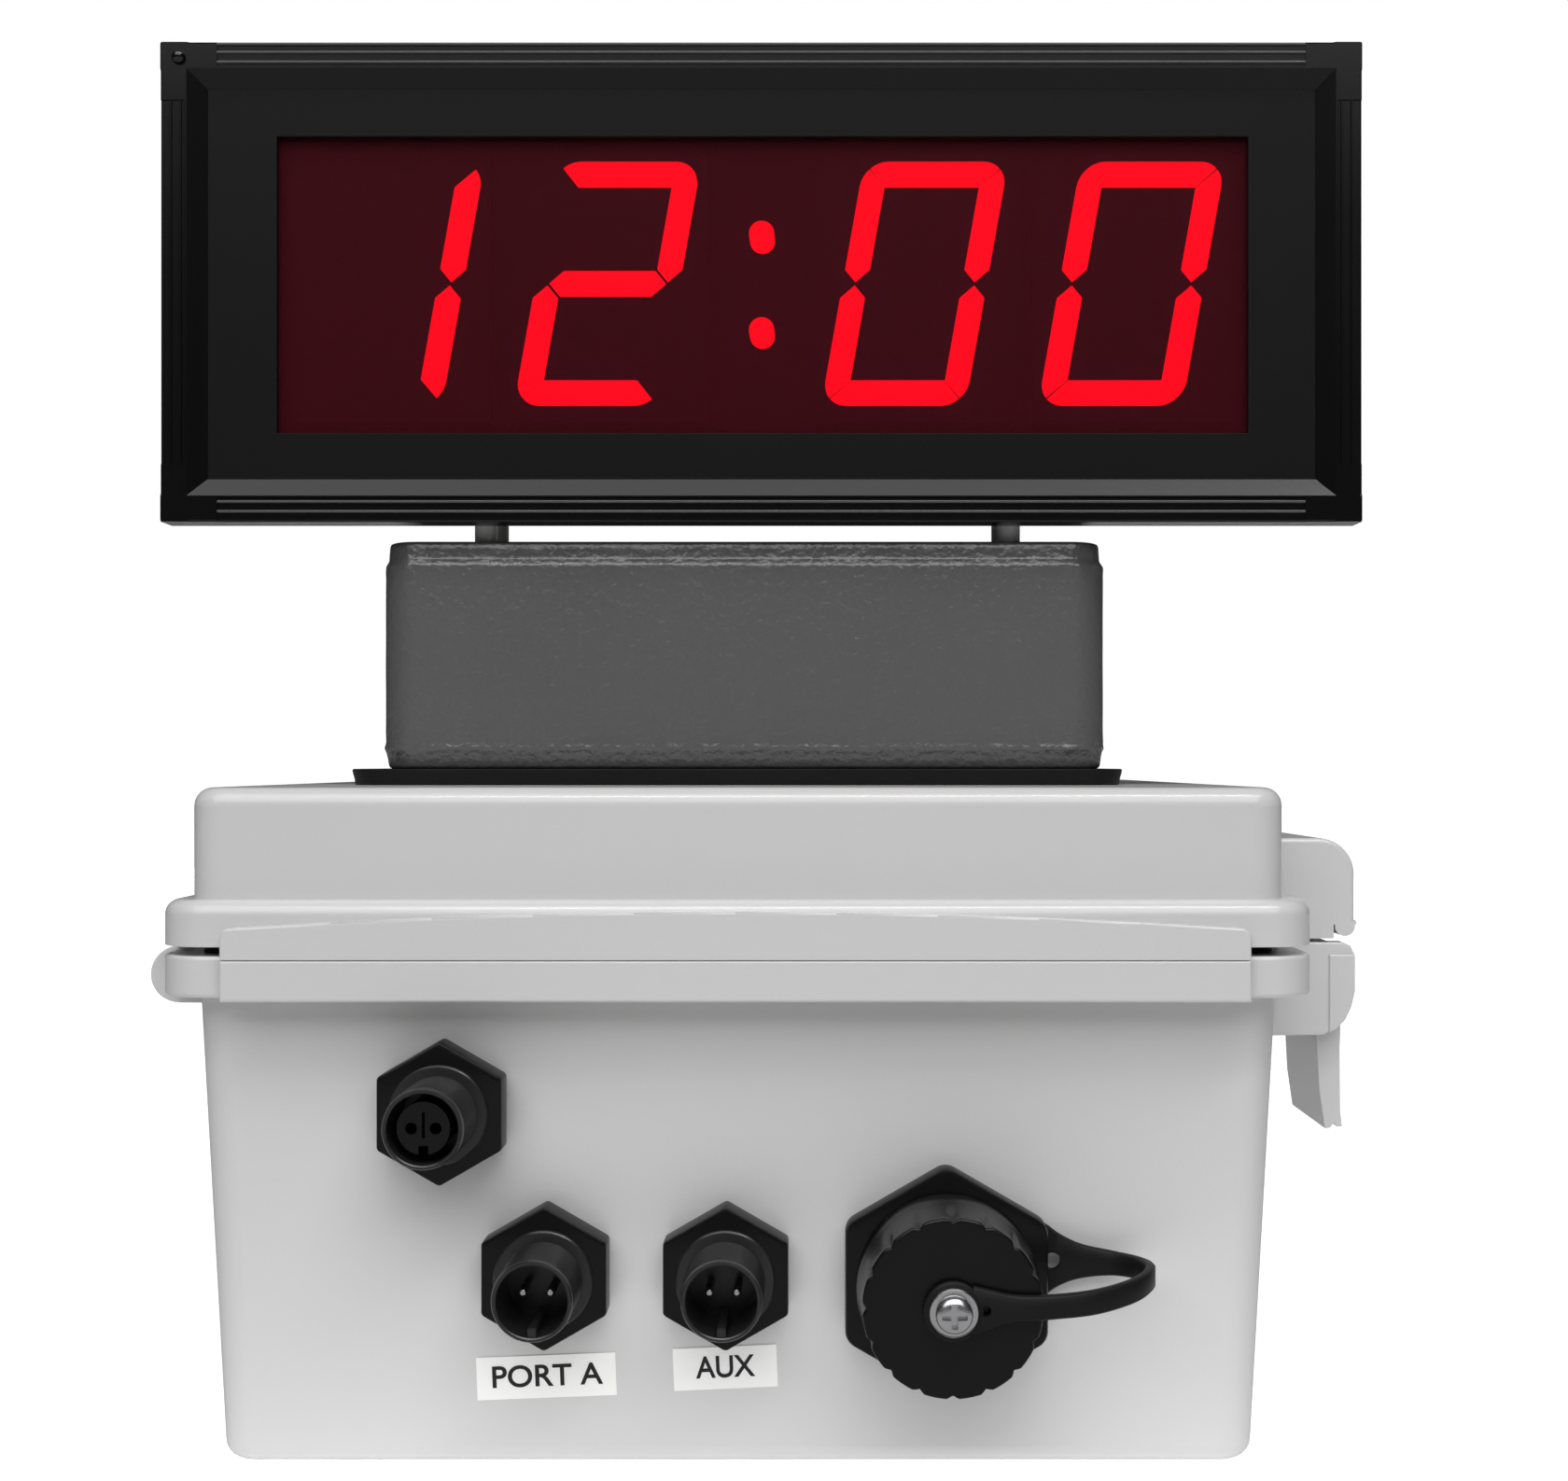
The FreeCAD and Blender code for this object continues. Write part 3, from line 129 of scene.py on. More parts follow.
def diffuse_only(tree, glow):
    """Keep the floor's bounce out of glossy reflections."""
    rays = tree.nodes.new("ShaderNodeLightPath")
    gate = tree.nodes.new("ShaderNodeMath")
    gate.operation = "MULTIPLY"
    bounce = glow.inputs["To Min"].links[0].from_socket
    tree.links.new(bounce, gate.inputs[0])
    tree.links.new(rays.outputs["Is Diffuse Ray"], gate.inputs[1])
    tree.links.new(gate.outputs[0], glow.inputs["To Min"])


def make_floor():
    """White sweep that looks plain to the camera and lights the object softly from below."""
    material, tree, shader = nodes_of("floor_white")
    shader.inputs["Base Color"].default_value = (*grey(FLOOR_ALBEDO), 1)
    shader.inputs["Roughness"].default_value = 0.95
    shader.inputs["Specular IOR Level"].default_value = 0.1
    shader.inputs["Emission Color"].default_value = (1, 1, 1, 1)
    glow = seen_strength(tree, 0.0, 1.0, shader.inputs["Emission Strength"])
    place = tree.nodes.new("ShaderNodeTexCoord")
    distance = tree.nodes.new("ShaderNodeVectorMath")
    distance.operation = "LENGTH"
    tree.links.new(place.outputs["Object"], distance.inputs[0])
    spans = (("To Max", FLOOR_FADE, FLOOR_GLOW, 1.0),
             ("To Min", FLOOR_BOUNCE_FADE, FLOOR_BOUNCE, 0.0))
    for socket, (near, far), start, end in spans:
        limits = {"From Min": near, "From Max": far, "To Min": start, "To Max": end}
        fade = add_node(tree, "ShaderNodeMapRange", **limits)
        tree.links.new(distance.outputs["Value"], fade.inputs["Value"])
        tree.links.new(fade.outputs["Result"], glow.inputs[socket])
    diffuse_only(tree, glow)
    bpy.ops.mesh.primitive_plane_add(size=FLOOR_SIZE)
    floor = bpy.context.object
    floor.name = "floor"
    shade(floor, material)


def make_studio():
    bpy.context.scene.view_settings.view_transform = "Standard"
    make_world()
    area_light("key", *KEY_LIGHT)
    area_light("tube", *TUBE_LIGHT)
    area_light("back", *BACK_LIGHT).visible_glossy = False
    make_floor()


# Materials. Patch and grain are the sizes in metres of the colour patches and of the fine bump.

def grey(level):
    return (level, level, level)


FINISHES = {
    "enclosure_plastic": dict(colour=grey(0.60), roughness=0.19, patch=0.09, variation=0.008,
                              grain=0.0011, bump=0.04, rough_spread=0.03),
    "painted_steel": dict(colour=grey(0.095), roughness=0.27, patch=0.05, grain=0.0015,
                          bump=0.32, rough_spread=0.03, Specular_IOR_Level=0.95),
    "frame_black": dict(colour=grey(0.003), roughness=0.21, variation=0.2, grain=0.0004,
                        bump=0.03, rough_spread=0.02, Specular_IOR_Level=0.32),
    # Painted highlight: a lighter copy of frame_black for the ridges on the rails
    "frame_ridge_painted_highlight": dict(colour=grey(0.05), roughness=0.25, Specular_IOR_Level=0.5),
    "bezel_black": dict(colour=grey(0.0065), roughness=0.42, patch=0.05, variation=0.1,
                        grain=0.0003, bump=0.12, Specular_IOR_Level=0.11),
    "window_tint": dict(colour=(0.069, 0.005, 0.0102), roughness=0.42, patch=0.08,
                        variation=0.04, grain=0.0008, bump=0.0, Specular_IOR_Level=0.04,
                        Alpha=0.5),
    "digit_plastic": dict(colour=(0.006, 0.001, 0.0012), roughness=0.6, Specular_IOR_Level=0.1),
    "sensor_dome": dict(colour=grey(0.003), roughness=0.1, variation=0.1, rough_spread=0.02),
    "port_black": dict(colour=grey(0.003), roughness=0.26, patch=0.006, variation=0.3,
                       grain=0.0003, bump=0.2, rough_spread=0.03, Specular_IOR_Level=0.25),
    # Painted highlight: a lighter, glossier copy of port_black for the threaded barrels
    "barrel_black_painted_highlight": dict(colour=grey(0.014), roughness=0.3, patch=0.006, variation=0.3,
                         grain=0.0003, Specular_IOR_Level=0.5),
    "black_rubber": dict(colour=grey(0.008), roughness=0.45, patch=0.01, variation=0.25,
                         grain=0.0004, bump=0.2, Specular_IOR_Level=0.15),
    "bright_metal": dict(colour=(0.55, 0.55, 0.56), roughness=0.26, patch=0.004, metallic=1.0),
    "zinc_plate": dict(colour=(0.5, 0.5, 0.52), roughness=0.35, patch=0.01, variation=0.15,
                       metallic=1.0),
    "circuit_board": dict(colour=(0.015, 0.11, 0.045), roughness=0.3, patch=0.004,
                          variation=0.25),
    "white_nylon": dict(colour=(0.85, 0.85, 0.84), roughness=0.4),
    "label_white": dict(colour=(0.9, 0.9, 0.89), roughness=0.5, patch=0.01, variation=0.02,
                        grain=0.0004, bump=0.05),
    "label_ink": dict(colour=(0.01, 0.01, 0.012), roughness=0.5, patch=0.002, variation=0.3),
    # Painted shade: near-black stand-in for the board behind the digits, shadowed inside the
    # display case
    "painted_shade_backing": dict(colour=grey(0.004), roughness=0.7, Specular_IOR_Level=0.1),
}
LAMP_BODY = (0.5, 0, 0.01)
LAMP_GLOW = (1.0, 0.0, 0.007)
LAMP_STRENGTH = (4.0, 4.25)
LAMP_PATCH = 0.004


def nodes_of(name):
    """New material, with its node tree and its main shader."""
    material = bpy.data.materials.new(name)
    material.use_nodes = True
    return material, material.node_tree, material.node_tree.nodes["Principled BSDF"]


def add_node(tree, kind, **inputs):
    node = tree.nodes.new(kind)
    for key, value in inputs.items():
        node.inputs[key].default_value = value
    return node


def noise_node(tree, place, size, detail=3.0):
    """Noise whose blobs are about `size` metres across."""
    texture = add_node(tree, "ShaderNodeTexNoise", Scale=1 / size, Detail=detail)
    tree.links.new(place.outputs["Object"], texture.inputs["Vector"])
    return texture


def ramp(tree, source, low, high):
    """Map a noise's 0 to 1 onto a span of numbers."""
    node = add_node(tree, "ShaderNodeMapRange", **{"To Min": low, "To Max": high})
    tree.links.new(source, node.inputs["Value"])
    return node.outputs["Result"]


def surface(name, colour, roughness, patch=0.02, variation=0.06, grain=0.0006, bump=0.1,
            metallic=0.0, rough_spread=0.05, **fixed):
    """Principled material with colour patches, uneven roughness and a fine bump."""
    material, tree, shader = nodes_of(name)
    place = tree.nodes.new("ShaderNodeTexCoord")
    wide = noise_node(tree, place, patch, 4.0)
    fine = noise_node(tree, place, grain, 2.0)
    mix = add_node(tree, "ShaderNodeMix")
    mix.data_type = "RGBA"
    mix.inputs["A"].default_value = (*[c * (1 - variation) for c in colour], 1)
    mix.inputs["B"].default_value = (*[min(c * (1 + variation), 1) for c in colour], 1)
    tree.links.new(ramp(tree, wide.outputs["Fac"], 0, 1), mix.inputs["Factor"])
    tree.links.new(mix.outputs["Result"], shader.inputs["Base Color"])
    spread = ramp(tree, wide.outputs["Fac"], roughness - rough_spread, roughness + rough_spread)
    tree.links.new(spread, shader.inputs["Roughness"])
    bumps = add_node(tree, "ShaderNodeBump", Strength=bump, Distance=grain * 0.5)
    tree.links.new(fine.outputs["Fac"], bumps.inputs["Height"])
    tree.links.new(bumps.outputs["Normal"], shader.inputs["Normal"])
    shader.inputs["Metallic"].default_value = metallic
    for key, value in fixed.items():
        shader.inputs[key.replace("_", " ")].default_value = value
    return material


def lamp_material():
    """Lit red diffuser, even to within a few percent."""
    material, tree, shader = nodes_of("lamp_red")
    place = tree.nodes.new("ShaderNodeTexCoord")
    cells = noise_node(tree, place, LAMP_PATCH, 2.0)
    shader.inputs["Base Color"].default_value = (*LAMP_BODY, 1)
    shader.inputs["Roughness"].default_value = 0.5
    shader.inputs["Specular IOR Level"].default_value = 0.1
    shader.inputs["Emission Color"].default_value = (*LAMP_GLOW, 1)
    strength = ramp(tree, cells.outputs["Fac"], *LAMP_STRENGTH)
    tree.links.new(strength, shader.inputs["Emission Strength"])
    return material


def make_materials():
    """One finish for each slot of the record, and four finishes that only the looks use."""
    made = {name: surface(name, **finish) for name, finish in FINISHES.items()}
    made["lamp_red"] = lamp_material()
    return made


def shade(piece, material):
    piece.data.materials.clear()
    piece.data.materials.append(material)


# Mesh helpers

def in_metres(rows):
    """Rows of values in millimetres, turned into metres."""
    return [tuple(value * MM for value in row) for row in rows]


def add_piece(name, bm, body, slot, stands_for=(), smooth=35.0, recalc=True):
    """Turn a bmesh into a piece that rides on a body."""
    if recalc:
        bmesh.ops.recalc_face_normals(bm, faces=bm.faces)
    mesh = bpy.data.meshes.new(name)
    bm.to_mesh(mesh)
    bm.free()
    for face in mesh.polygons:
        face.use_smooth = True
    piece = bpy.data.objects.new(name, mesh)
    bpy.context.scene.collection.objects.link(piece)
    mesh.set_sharp_from_angle(angle=math.radians(smooth))
    shade(piece, MATERIALS[slot])
    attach(piece, body)
    if stands_for:
        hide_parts(*stands_for)
    return piece


def skin_rings(bm, rings, close_start=True, close_end=True):
    """Join closed rings, each with the same number of points, into a surface."""
    loops = [[bm.verts.new(point) for point in ring] for ring in rings]
    for first, second in zip(loops, loops[1:]):
        count = len(first)
        for index in range(count):
            after = (index + 1) % count
            bm.faces.new((first[index], first[after], second[after], second[index]))
    if close_start:
        bm.faces.new(loops[0])
    if close_end:
        bm.faces.new(loops[-1])


def lathe_y(bm, centre, profile, steps=96, wobble=None, close=(True, True)):
    """Turn (radius, depth in front of the wall) points about an axis along -Y."""
    x, z, wall = centre
    rings = []
    for radius, depth in profile:
        ring = []
        for step in range(steps):
            angle = 2 * math.pi * step / steps
            r = radius * (1 + wobble(angle, depth)) if wobble else radius
            ring.append((x + r * math.cos(angle), wall - depth, z + r * math.sin(angle)))
        rings.append(ring)
    skin_rings(bm, rings, *close)


def rounded_outline(half_x, half_y, corner, arc_steps=10, side_steps=24):
    """Points round a rounded rectangle, with the outward direction of each."""
    points = []
    centres = ((1, 1, 0), (-1, 1, 90), (-1, -1, 180), (1, -1, 270))
    for index, (sx, sy, start) in enumerate(centres):
        cx, cy = sx * (half_x - corner), sy * (half_y - corner)
        for step in range(arc_steps + 1):
            angle = math.radians(start + 90 * step / arc_steps)
            out = Vector((math.cos(angle), math.sin(angle), 0))
            points.append((Vector((cx, cy, 0)) + out * corner, out))
        nx, ny, turn = centres[(index + 1) % 4]
        last = points[-1][0]
        angle = math.radians(turn)
        out = Vector((math.cos(angle), math.sin(angle), 0))
        following = Vector((nx * (half_x - corner), ny * (half_y - corner), 0)) + out * corner
        for step in range(1, side_steps):
            points.append((last.lerp(following, step / side_steps), out))
    return points


# Driver housing: folded and welded sheet under thick paint

HOUSING_CORNER = 8.5 * MM
CREASE = 4.6 * MM
PANEL_ROWS = 20

# Rows of distance from the end and inset from the CAD wall, in millimetres
TOP_EDGE = ((0, 1.9), (0.2, 1.35), (0.8, 1.08), (2.0, 1.02), (3.2, 0.98), (3.75, 0.93), (4.0, 0.82),
            (4.9, 0.27), (5.15, 0.17), (5.6, 0.15), (6.2, 0.15))
FOOT_EDGE = ((0, 1.7), (0.25, 1.1), (0.8, 0.8), (2.4, 0.6), (3.6, 0.35), (4.2, 0.1), (4.6, 0.02),
             (5.0, 0.07), (5.5, 0.15), (6.0, 0.15))

# How far the paint moves a wall, how large its waves are, and how far welds and folds reach
WAVE_DEPTH = 0.05 * MM
SHEET_WAVE = 9 * MM
WELD_WAVE = 2.2 * MM
RIPPLE_WAVE = 1.1 * MM
WELD_BUMP = 0.8 * MM
WELD_REACH = 14 * MM
CREASE_REACH = 4.5 * MM
WELD_NOISE_SHIFT = (5, 1, 2)


def make_housing():
    """Sheet box whose walls lean in above and below two creases."""
    low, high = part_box("driver_housing")
    middle = (low + high) / 2
    half_x, half_y = (high.x - low.x) / 2, (high.y - low.y) / 2
    lower = [(low.z + rise * MM, inset * MM) for rise, inset in FOOT_EDGE]
    upper = [(high.z - rise * MM, inset * MM) for rise, inset in reversed(TOP_EDGE)]
    first, last = lower[-1][0], upper[0][0]
    rise = last - first
    panel = [(first + rise * row / PANEL_ROWS, lower[-1][1]) for row in range(1, PANEL_ROWS)]
    outline = rounded_outline(half_x, half_y, HOUSING_CORNER, 12, 44)
    bm = bmesh.new()
    rings = []
    for z, inset in lower + panel + upper:
        ring = []
        for point, out in outline:
            place = Vector((point.x, point.y, z)) - out * inset
            sag = paint_sag(place, half_x, half_y, min(high.z - z, z - low.z))
            ring.append(place - out * sag + Vector((middle.x, middle.y, 0)))
        rings.append(ring)
    skin_rings(bm, rings)
    add_piece("housing_shell", bm, "lid", "painted_steel", ["driver_housing"], 50)


def paint_sag(place, half_x, half_y, from_edge):
    """Unevenness of the painted sheet and of the weld beads at its corners; positive is inward."""
    wide = (noise.noise(place / SHEET_WAVE) + 1) * WAVE_DEPTH
    to_corner_x = max(0, 1 - (half_x - abs(place.x)) / WELD_REACH)
    to_corner_y = max(0, 1 - (half_y - abs(place.y)) / WELD_REACH)
    to_crease = max(0, 1 - abs(from_edge - CREASE) / CREASE_REACH)
    bead = noise.noise(place / WELD_WAVE + Vector(WELD_NOISE_SHIFT)) * WELD_BUMP
    weld = bead * to_corner_x * to_corner_y
    ripple = noise.noise(place / RIPPLE_WAVE) * WAVE_DEPTH
    return wide + (weld + ripple) * to_crease


# Round-cornered hexagons and ports. Profiles are rows in millimetres, whose last value is the
# depth in front of the wall: (inset, depth) for hexagons and (radius, depth) for turned parts.

SMALL_HEXAGON = (24 * MM, 1.1 * MM)
SMALL_HEXAGON_ROWS = ((0.3, 1.4), (0, 1.7), (0, 7.2), (0.15, 7.6), (0.6, 7.8))
BARREL_FOOT = ((7.8, -16), (8.0, -15.7), (8.0, 1.5), (8.0, 7.7), (9.5, 7.75), (9.5, 8.8),
               (9.2, 9.1), (7.45, 9.25))
BARREL_LIP = ((7.45, 23.1), (7.45, 23.7), (7.25, 24.0), (6.85, 24.0), (6.62, 23.8), (6.6, 9.0))
THREAD_RADIUS = 7.6
THREAD_DEPTHS = (9.6, 22.8)
THREAD_PITCH = 1.0
THREAD_HEIGHT = 0.35
ROWS_PER_PITCH = 6
KEY_HALF_WIDTH = 0.8 * MM
KEY_DEPTHS = (9 * MM, 23.5 * MM)
KEY_DROPS = (6.8 * MM, 4.9 * MM)
DATA_HEXAGON = (38.7 * MM, 3.4 * MM)
DATA_HEXAGON_ROWS = ((0.5, 3.6), (0, 4.0), (0, 7.9), (0.25, 8.4), (0.8, 8.6))
DATA_BARREL = ((12.8, -14), (13, -13.7), (13, 5), (12.6, 8), (12.6, 22.4), (12.2, 22.8),
               (10.8, 22.8), (10.8, 9))


def port_centre(node_name):
    """Centre (x, z) of a node seen from the front, from the CAD."""
    low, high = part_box(node_name)
    return (low.x + high.x) / 2, (low.z + high.z) / 2


def hexagon_ring(centre, across, corner, inset, steps=6):
    """Outline of a hexagon with a vertex at the top, as (x, z) points."""
    flat = across / 2 - inset
    vertex = (flat - corner) * 2 / math.sqrt(3)
    points = []
    for index in range(6):
        middle = math.radians(90 + 60 * index)
        cx = centre[0] + vertex * math.cos(middle)
        cz = centre[1] + vertex * math.sin(middle)
        for step in range(steps + 1):
            angle = middle + math.radians(-30 + 60 * step / steps)
            points.append((cx + corner * math.cos(angle), cz + corner * math.sin(angle)))
    return points


def add_hexagon(bm, centre, across, corner, rows):
    """Solid hexagon; rows are (inset, depth in front of the wall)."""
    rings = []
    for inset, depth in in_metres(rows):
        outline = hexagon_ring(centre, across, corner, inset)
        rings.append([(x, WALL_Y - depth, z) for x, z in outline])
    skin_rings(bm, rings)


def thread_rows():
    """(radius, depth) rows of a fine thread, drawn as rings with round crests."""
    rows = []
    first, last = THREAD_DEPTHS
    count = int(round((last - first) / THREAD_PITCH * ROWS_PER_PITCH))
    for index in range(count + 1):
        depth = first + (last - first) * index / count
        wave = 0.5 - 0.5 * math.cos(2 * math.pi * index / ROWS_PER_PITCH)
        rows.append((THREAD_RADIUS - THREAD_HEIGHT * wave, depth))
    return rows


def make_small_port(name, female):
    """Bulkhead port: a hexagon, and a threaded barrel with a key in it unless it is female; the
    barrel's lighter black is a painted highlight.
    """
    body = name + "_body"
    x, z = port_centre(body)
    bm = bmesh.new()
    add_hexagon(bm, (x, z), *SMALL_HEXAGON, SMALL_HEXAGON_ROWS)
    add_piece(name + "_hexagon", bm, "base", "port_black", [body], 40)
    bm = bmesh.new()
    profile = [*BARREL_FOOT, *thread_rows(), *BARREL_LIP]
    lathe_y(bm, (x, z, WALL_Y), in_metres(profile), 72)
    if not female:
        add_block(bm, (x - KEY_HALF_WIDTH, x + KEY_HALF_WIDTH),
                  (WALL_Y - KEY_DEPTHS[1], WALL_Y - KEY_DEPTHS[0]),
                  (z - KEY_DROPS[0], z - KEY_DROPS[1]), 0.2 * MM)
    barrel = add_piece(name + "_barrel", bm, "base", "port_black", [body], 40)
    # Painted highlight: the barrel is shaded with a lighter copy of the port's black
    shade(barrel, MATERIALS["barrel_black_painted_highlight"])


def add_block(bm, x, y, z, bevel):
    """Block between low and high values, with bevelled edges."""
    middle = Vector(((x[0] + x[1]) / 2, (y[0] + y[1]) / 2, (z[0] + z[1]) / 2))
    size = (x[1] - x[0], y[1] - y[0], z[1] - z[0])
    made = bmesh.ops.create_cube(bm, size=1.0)
    bmesh.ops.scale(bm, vec=size, verts=made["verts"])
    bmesh.ops.translate(bm, vec=middle, verts=made["verts"])
    edges = list({edge for vert in made["verts"] for edge in vert.link_edges})
    bmesh.ops.bevel(bm, geom=edges, offset=bevel, segments=2, affect="EDGES")


def make_data_port():
    """Large hexagon, with the plain barrel that its cap covers."""
    centre = port_centre("data_port_body")
    bm = bmesh.new()
    add_hexagon(bm, centre, *DATA_HEXAGON, DATA_HEXAGON_ROWS)
    lathe_y(bm, (*centre, WALL_Y), in_metres(DATA_BARREL), 96)
    add_piece("data_port_shell", bm, "base", "port_black", ["data_port_body"], 40)


# The data port's cap, with its screw and washer

CAP_LOBES = 16
CAP_NOTCH = 0.042
CAP_LOBE_FLATNESS = 1.9
CAP_LOBES_FROM = 18.5
CAP_LOBES_FADE = 4.0
CAP_STEPS = 256
CAP_OUTER = ((17.0, 9.2), (17.3, 9.5), (17.3, 13.4), (17.15, 14.2), (16.9, 15.4), (16.75, 18.5),
             (16.6, 20.5), (16.55, 22.5), (16.5, 24.5), (16.5, 25.8), (16.4, 26.18),
             (16.15, 26.38), (15.9, 26.4), (12, 26.4))
CAP_BORE = ((13.2, 9.2), (13.2, 24.0))

# Rows of radius and height above the seat, or above the washer's back
SCREW_SEAT = 2.4
SCREW_HEAD = ((1.6, -4.6), (1.6, 0), (3.2, 0), (3.4, 0.2), (3.4, 0.9), (3.3, 1.35), (3.1, 1.7),
              (2.75, 2.0), (2.2, 2.22), (1.5, 2.35), (0.7, 2.4))
SCREW_SLOTS = ((2.3, 0.62), (0.62, 2.3))
SLOT_DEPTHS = (-0.5, 1.7)
WASHER = ((1.75, 0.05), (1.75, 0.7), (3.6, 0.7), (4.0, 0.58), (4.35, 0.7), (4.5, 0.52),
          (4.5, 0.05), (1.75, 0.05))


def cap_grip(angle, depth):
    """Sixteen flat lobes near the cap's face that fade out towards its collar."""
    fade = min(max((depth / MM - CAP_LOBES_FROM) / CAP_LOBES_FADE, 0), 1)
    lobe = abs(math.sin(angle * CAP_LOBES / 2))
    return fade * CAP_NOTCH * (min(lobe * CAP_LOBE_FLATNESS, 1) - 1)


def make_port_cap():
    """Bayonet cap, open at the back, with a flat face and a lobed grip."""
    centre = (*port_centre("port_cap"), WALL_Y)
    bm = bmesh.new()
    outer, bore = in_metres(CAP_OUTER), in_metres(CAP_BORE)
    lathe_y(bm, centre, outer, CAP_STEPS, cap_grip, close=(False, True))
    lathe_y(bm, centre, bore, CAP_STEPS, close=(False, True))
    lathe_y(bm, centre, [bore[0], outer[0]], CAP_STEPS, close=(False, False))
    bmesh.ops.remove_doubles(bm, verts=bm.verts, dist=0.02 * MM)
    add_piece("port_cap_shell", bm, "cap", "port_black", ["port_cap"], 40)


def make_cap_screw():
    """Pan head with a cross recess."""
    x, z = port_centre("cap_screw")
    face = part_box("cap_screw")[0].y
    seat = WALL_Y - face - SCREW_SEAT * MM
    bm = bmesh.new()
    lathe_y(bm, (x, z, WALL_Y), [(r * MM, seat + d * MM) for r, d in SCREW_HEAD], 64)
    screw = add_piece("cap_screw_head", bm, "cap", "bright_metal", ["cap_screw"], 40)
    for across, up in SCREW_SLOTS:
        tool = bmesh.new()
        add_block(tool, (x - across * MM, x + across * MM),
                  (face + SLOT_DEPTHS[0] * MM, face + SLOT_DEPTHS[1] * MM),
                  (z - up * MM, z + up * MM), 0.12 * MM)
        carve(screw, tool)


def make_cap_washer():
    """Washer with a shallow groove round it."""
    bm = bmesh.new()
    back = WALL_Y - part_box("cap_washer")[1].y
    rows = [(r * MM, back + d * MM) for r, d in WASHER]
    lathe_y(bm, (*port_centre("cap_screw"), WALL_Y), rows, 72, close=(False, False))
    bmesh.ops.remove_doubles(bm, verts=bm.verts, dist=0.01 * MM)
    add_piece("cap_washer_ring", bm, "cap", "bright_metal", ["cap_washer"], 40)


def carve(piece, tool_mesh):
    """Cut a bmesh out of a piece, and drop the tool."""
    mesh = bpy.data.meshes.new("tool")
    bmesh.ops.recalc_face_normals(tool_mesh, faces=tool_mesh.faces)
    tool_mesh.to_mesh(mesh)
    tool_mesh.free()
    tool = bpy.data.objects.new("tool", mesh)
    bpy.context.scene.collection.objects.link(tool)
    cut = piece.modifiers.new("cut", "BOOLEAN")
    cut.operation = "DIFFERENCE"
    cut.solver = "EXACT"
    cut.object = tool
    apply_modifiers(piece)
    bpy.data.objects.remove(tool)


def apply_modifiers(piece):
    """Make what a piece's modifiers give its mesh."""
    graph = bpy.context.evaluated_depsgraph_get()
    baked = bpy.data.meshes.new_from_object(piece.evaluated_get(graph))
    piece.modifiers.clear()
    piece.data = baked


# Tether strap, in millimetres where a row has no unit

STRAP_ON_CAP = 1.15 * MM
STRAP_ON_WALL = 2.55 * MM
STRAP_HALF = 0.95 * MM
STRAP_EDGE = 0.45 * MM

# Stations: sideways from the screw, back from the cap's face or the wall, up, half width
STRAP_FROM_CAP = ((3.6, 0, 0, 4.6), (7, 0, 0.3, 3.5), (11, 0, 0.5, 2.5), (17, 0, 0.7, 2.2),
                  (26, 1.8, 1.2, 2.2), (34, 6.9, 2.1, 2.15), (37.9, 13.8, 2.8, 2.1),
                  (37.0, 20.2, 2.6, 2.1))
STRAP_TO_TAIL = ((32.5, -0.6, 2.6, 2.3), (26.5, 0, 2.9, 3.2), (22.2, 0, 3.2, 4.9),
                 (18.5, 0, 3.2, 7.4), (10, 0, 2, 12))

# Holes: sideways and up from the screw, radius, depths that the tool spans, steps round
STRAP_HOLES = (((5.8, 0.2), 1.0, (24, 32), 24), ((20.6, 3.0), 1.7, (-1, 6), 32))
STRAP_EYE = ((1.9, -0.95), (1.9, 0.95), (5.0, 0.95), (5.4, 0.65), (5.4, -0.65), (5.0, -0.95),
             (1.9, -0.95))
STRAP_RING = ((13.2, 1.75), (13.2, 3.45), (18.0, 3.45), (18.4, 3.1), (18.4, 2.1), (18.0, 1.75),
              (13.2, 1.75))


def smooth_path(points, steps=8):
    """Catmull-Rom curve through (x, y, z, half width) points."""
    ends = [points[0]] + points + [points[-1]]
    path = []
    for index in range(1, len(ends) - 2):
        a, b, c, d = (Vector(ends[index + k]) for k in (-1, 0, 1, 2))
        for step in range(steps):
            t = step / steps
            path.append(0.5 * ((2 * b) + (c - a) * t + (2 * a - 5 * b + 4 * c - d) * t * t
                               + (3 * b - a - 3 * c + d) * t ** 3))
    path.append(Vector(points[-1]))
    return path


def strap_sections(path):
    """Flat cross-sections with cut corners, square to the path and upright."""
    near, far = STRAP_HALF - STRAP_EDGE, STRAP_HALF
    rings = []
    for index, point in enumerate(path):
        before, after = path[max(index - 1, 0)], path[min(index + 1, len(path) - 1)]
        along = Vector((after[0] - before[0], after[1] - before[1], 0)).normalized()
        out = Vector((along.y, -along.x, 0))
        centre, wide = Vector(point[:3]), point[3]
        thin = wide - STRAP_EDGE
        section = [(near, wide), (far, thin), (far, -thin), (near, -wide),
                   (-near, -wide), (-far, -thin), (-far, thin), (-near, wide)]
        rings.append([centre + out * across + Vector((0, 0, rise)) for across, rise in section])
    return rings


def make_strap_band():
    """Flat rubber strap: from the cap screw, round a loop, to a wide tail behind the hexagon."""
    cx, cz = port_centre("cap_screw")
    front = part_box("port_cap")[0].y - STRAP_ON_CAP
    back = WALL_Y - STRAP_ON_WALL
    stations = []
    for start, rows in ((front, STRAP_FROM_CAP), (back, STRAP_TO_TAIL)):
        for dx, dy, dz, wide in in_metres(rows):
            stations.append((cx + dx, start + dy, cz + dz, wide))
    bm = bmesh.new()
    skin_rings(bm, strap_sections(smooth_path(stations)))
    strap = add_piece("strap_band", bm, "base", "black_rubber", ["tether_strap"], 50)
    for (dx, dz), radius, depths, steps in STRAP_HOLES:
        tool = bmesh.new()
        rows = in_metres([(radius, depth) for depth in depths])
        lathe_y(tool, (cx + dx * MM, cz + dz * MM, WALL_Y), rows, steps)
        carve(strap, tool)


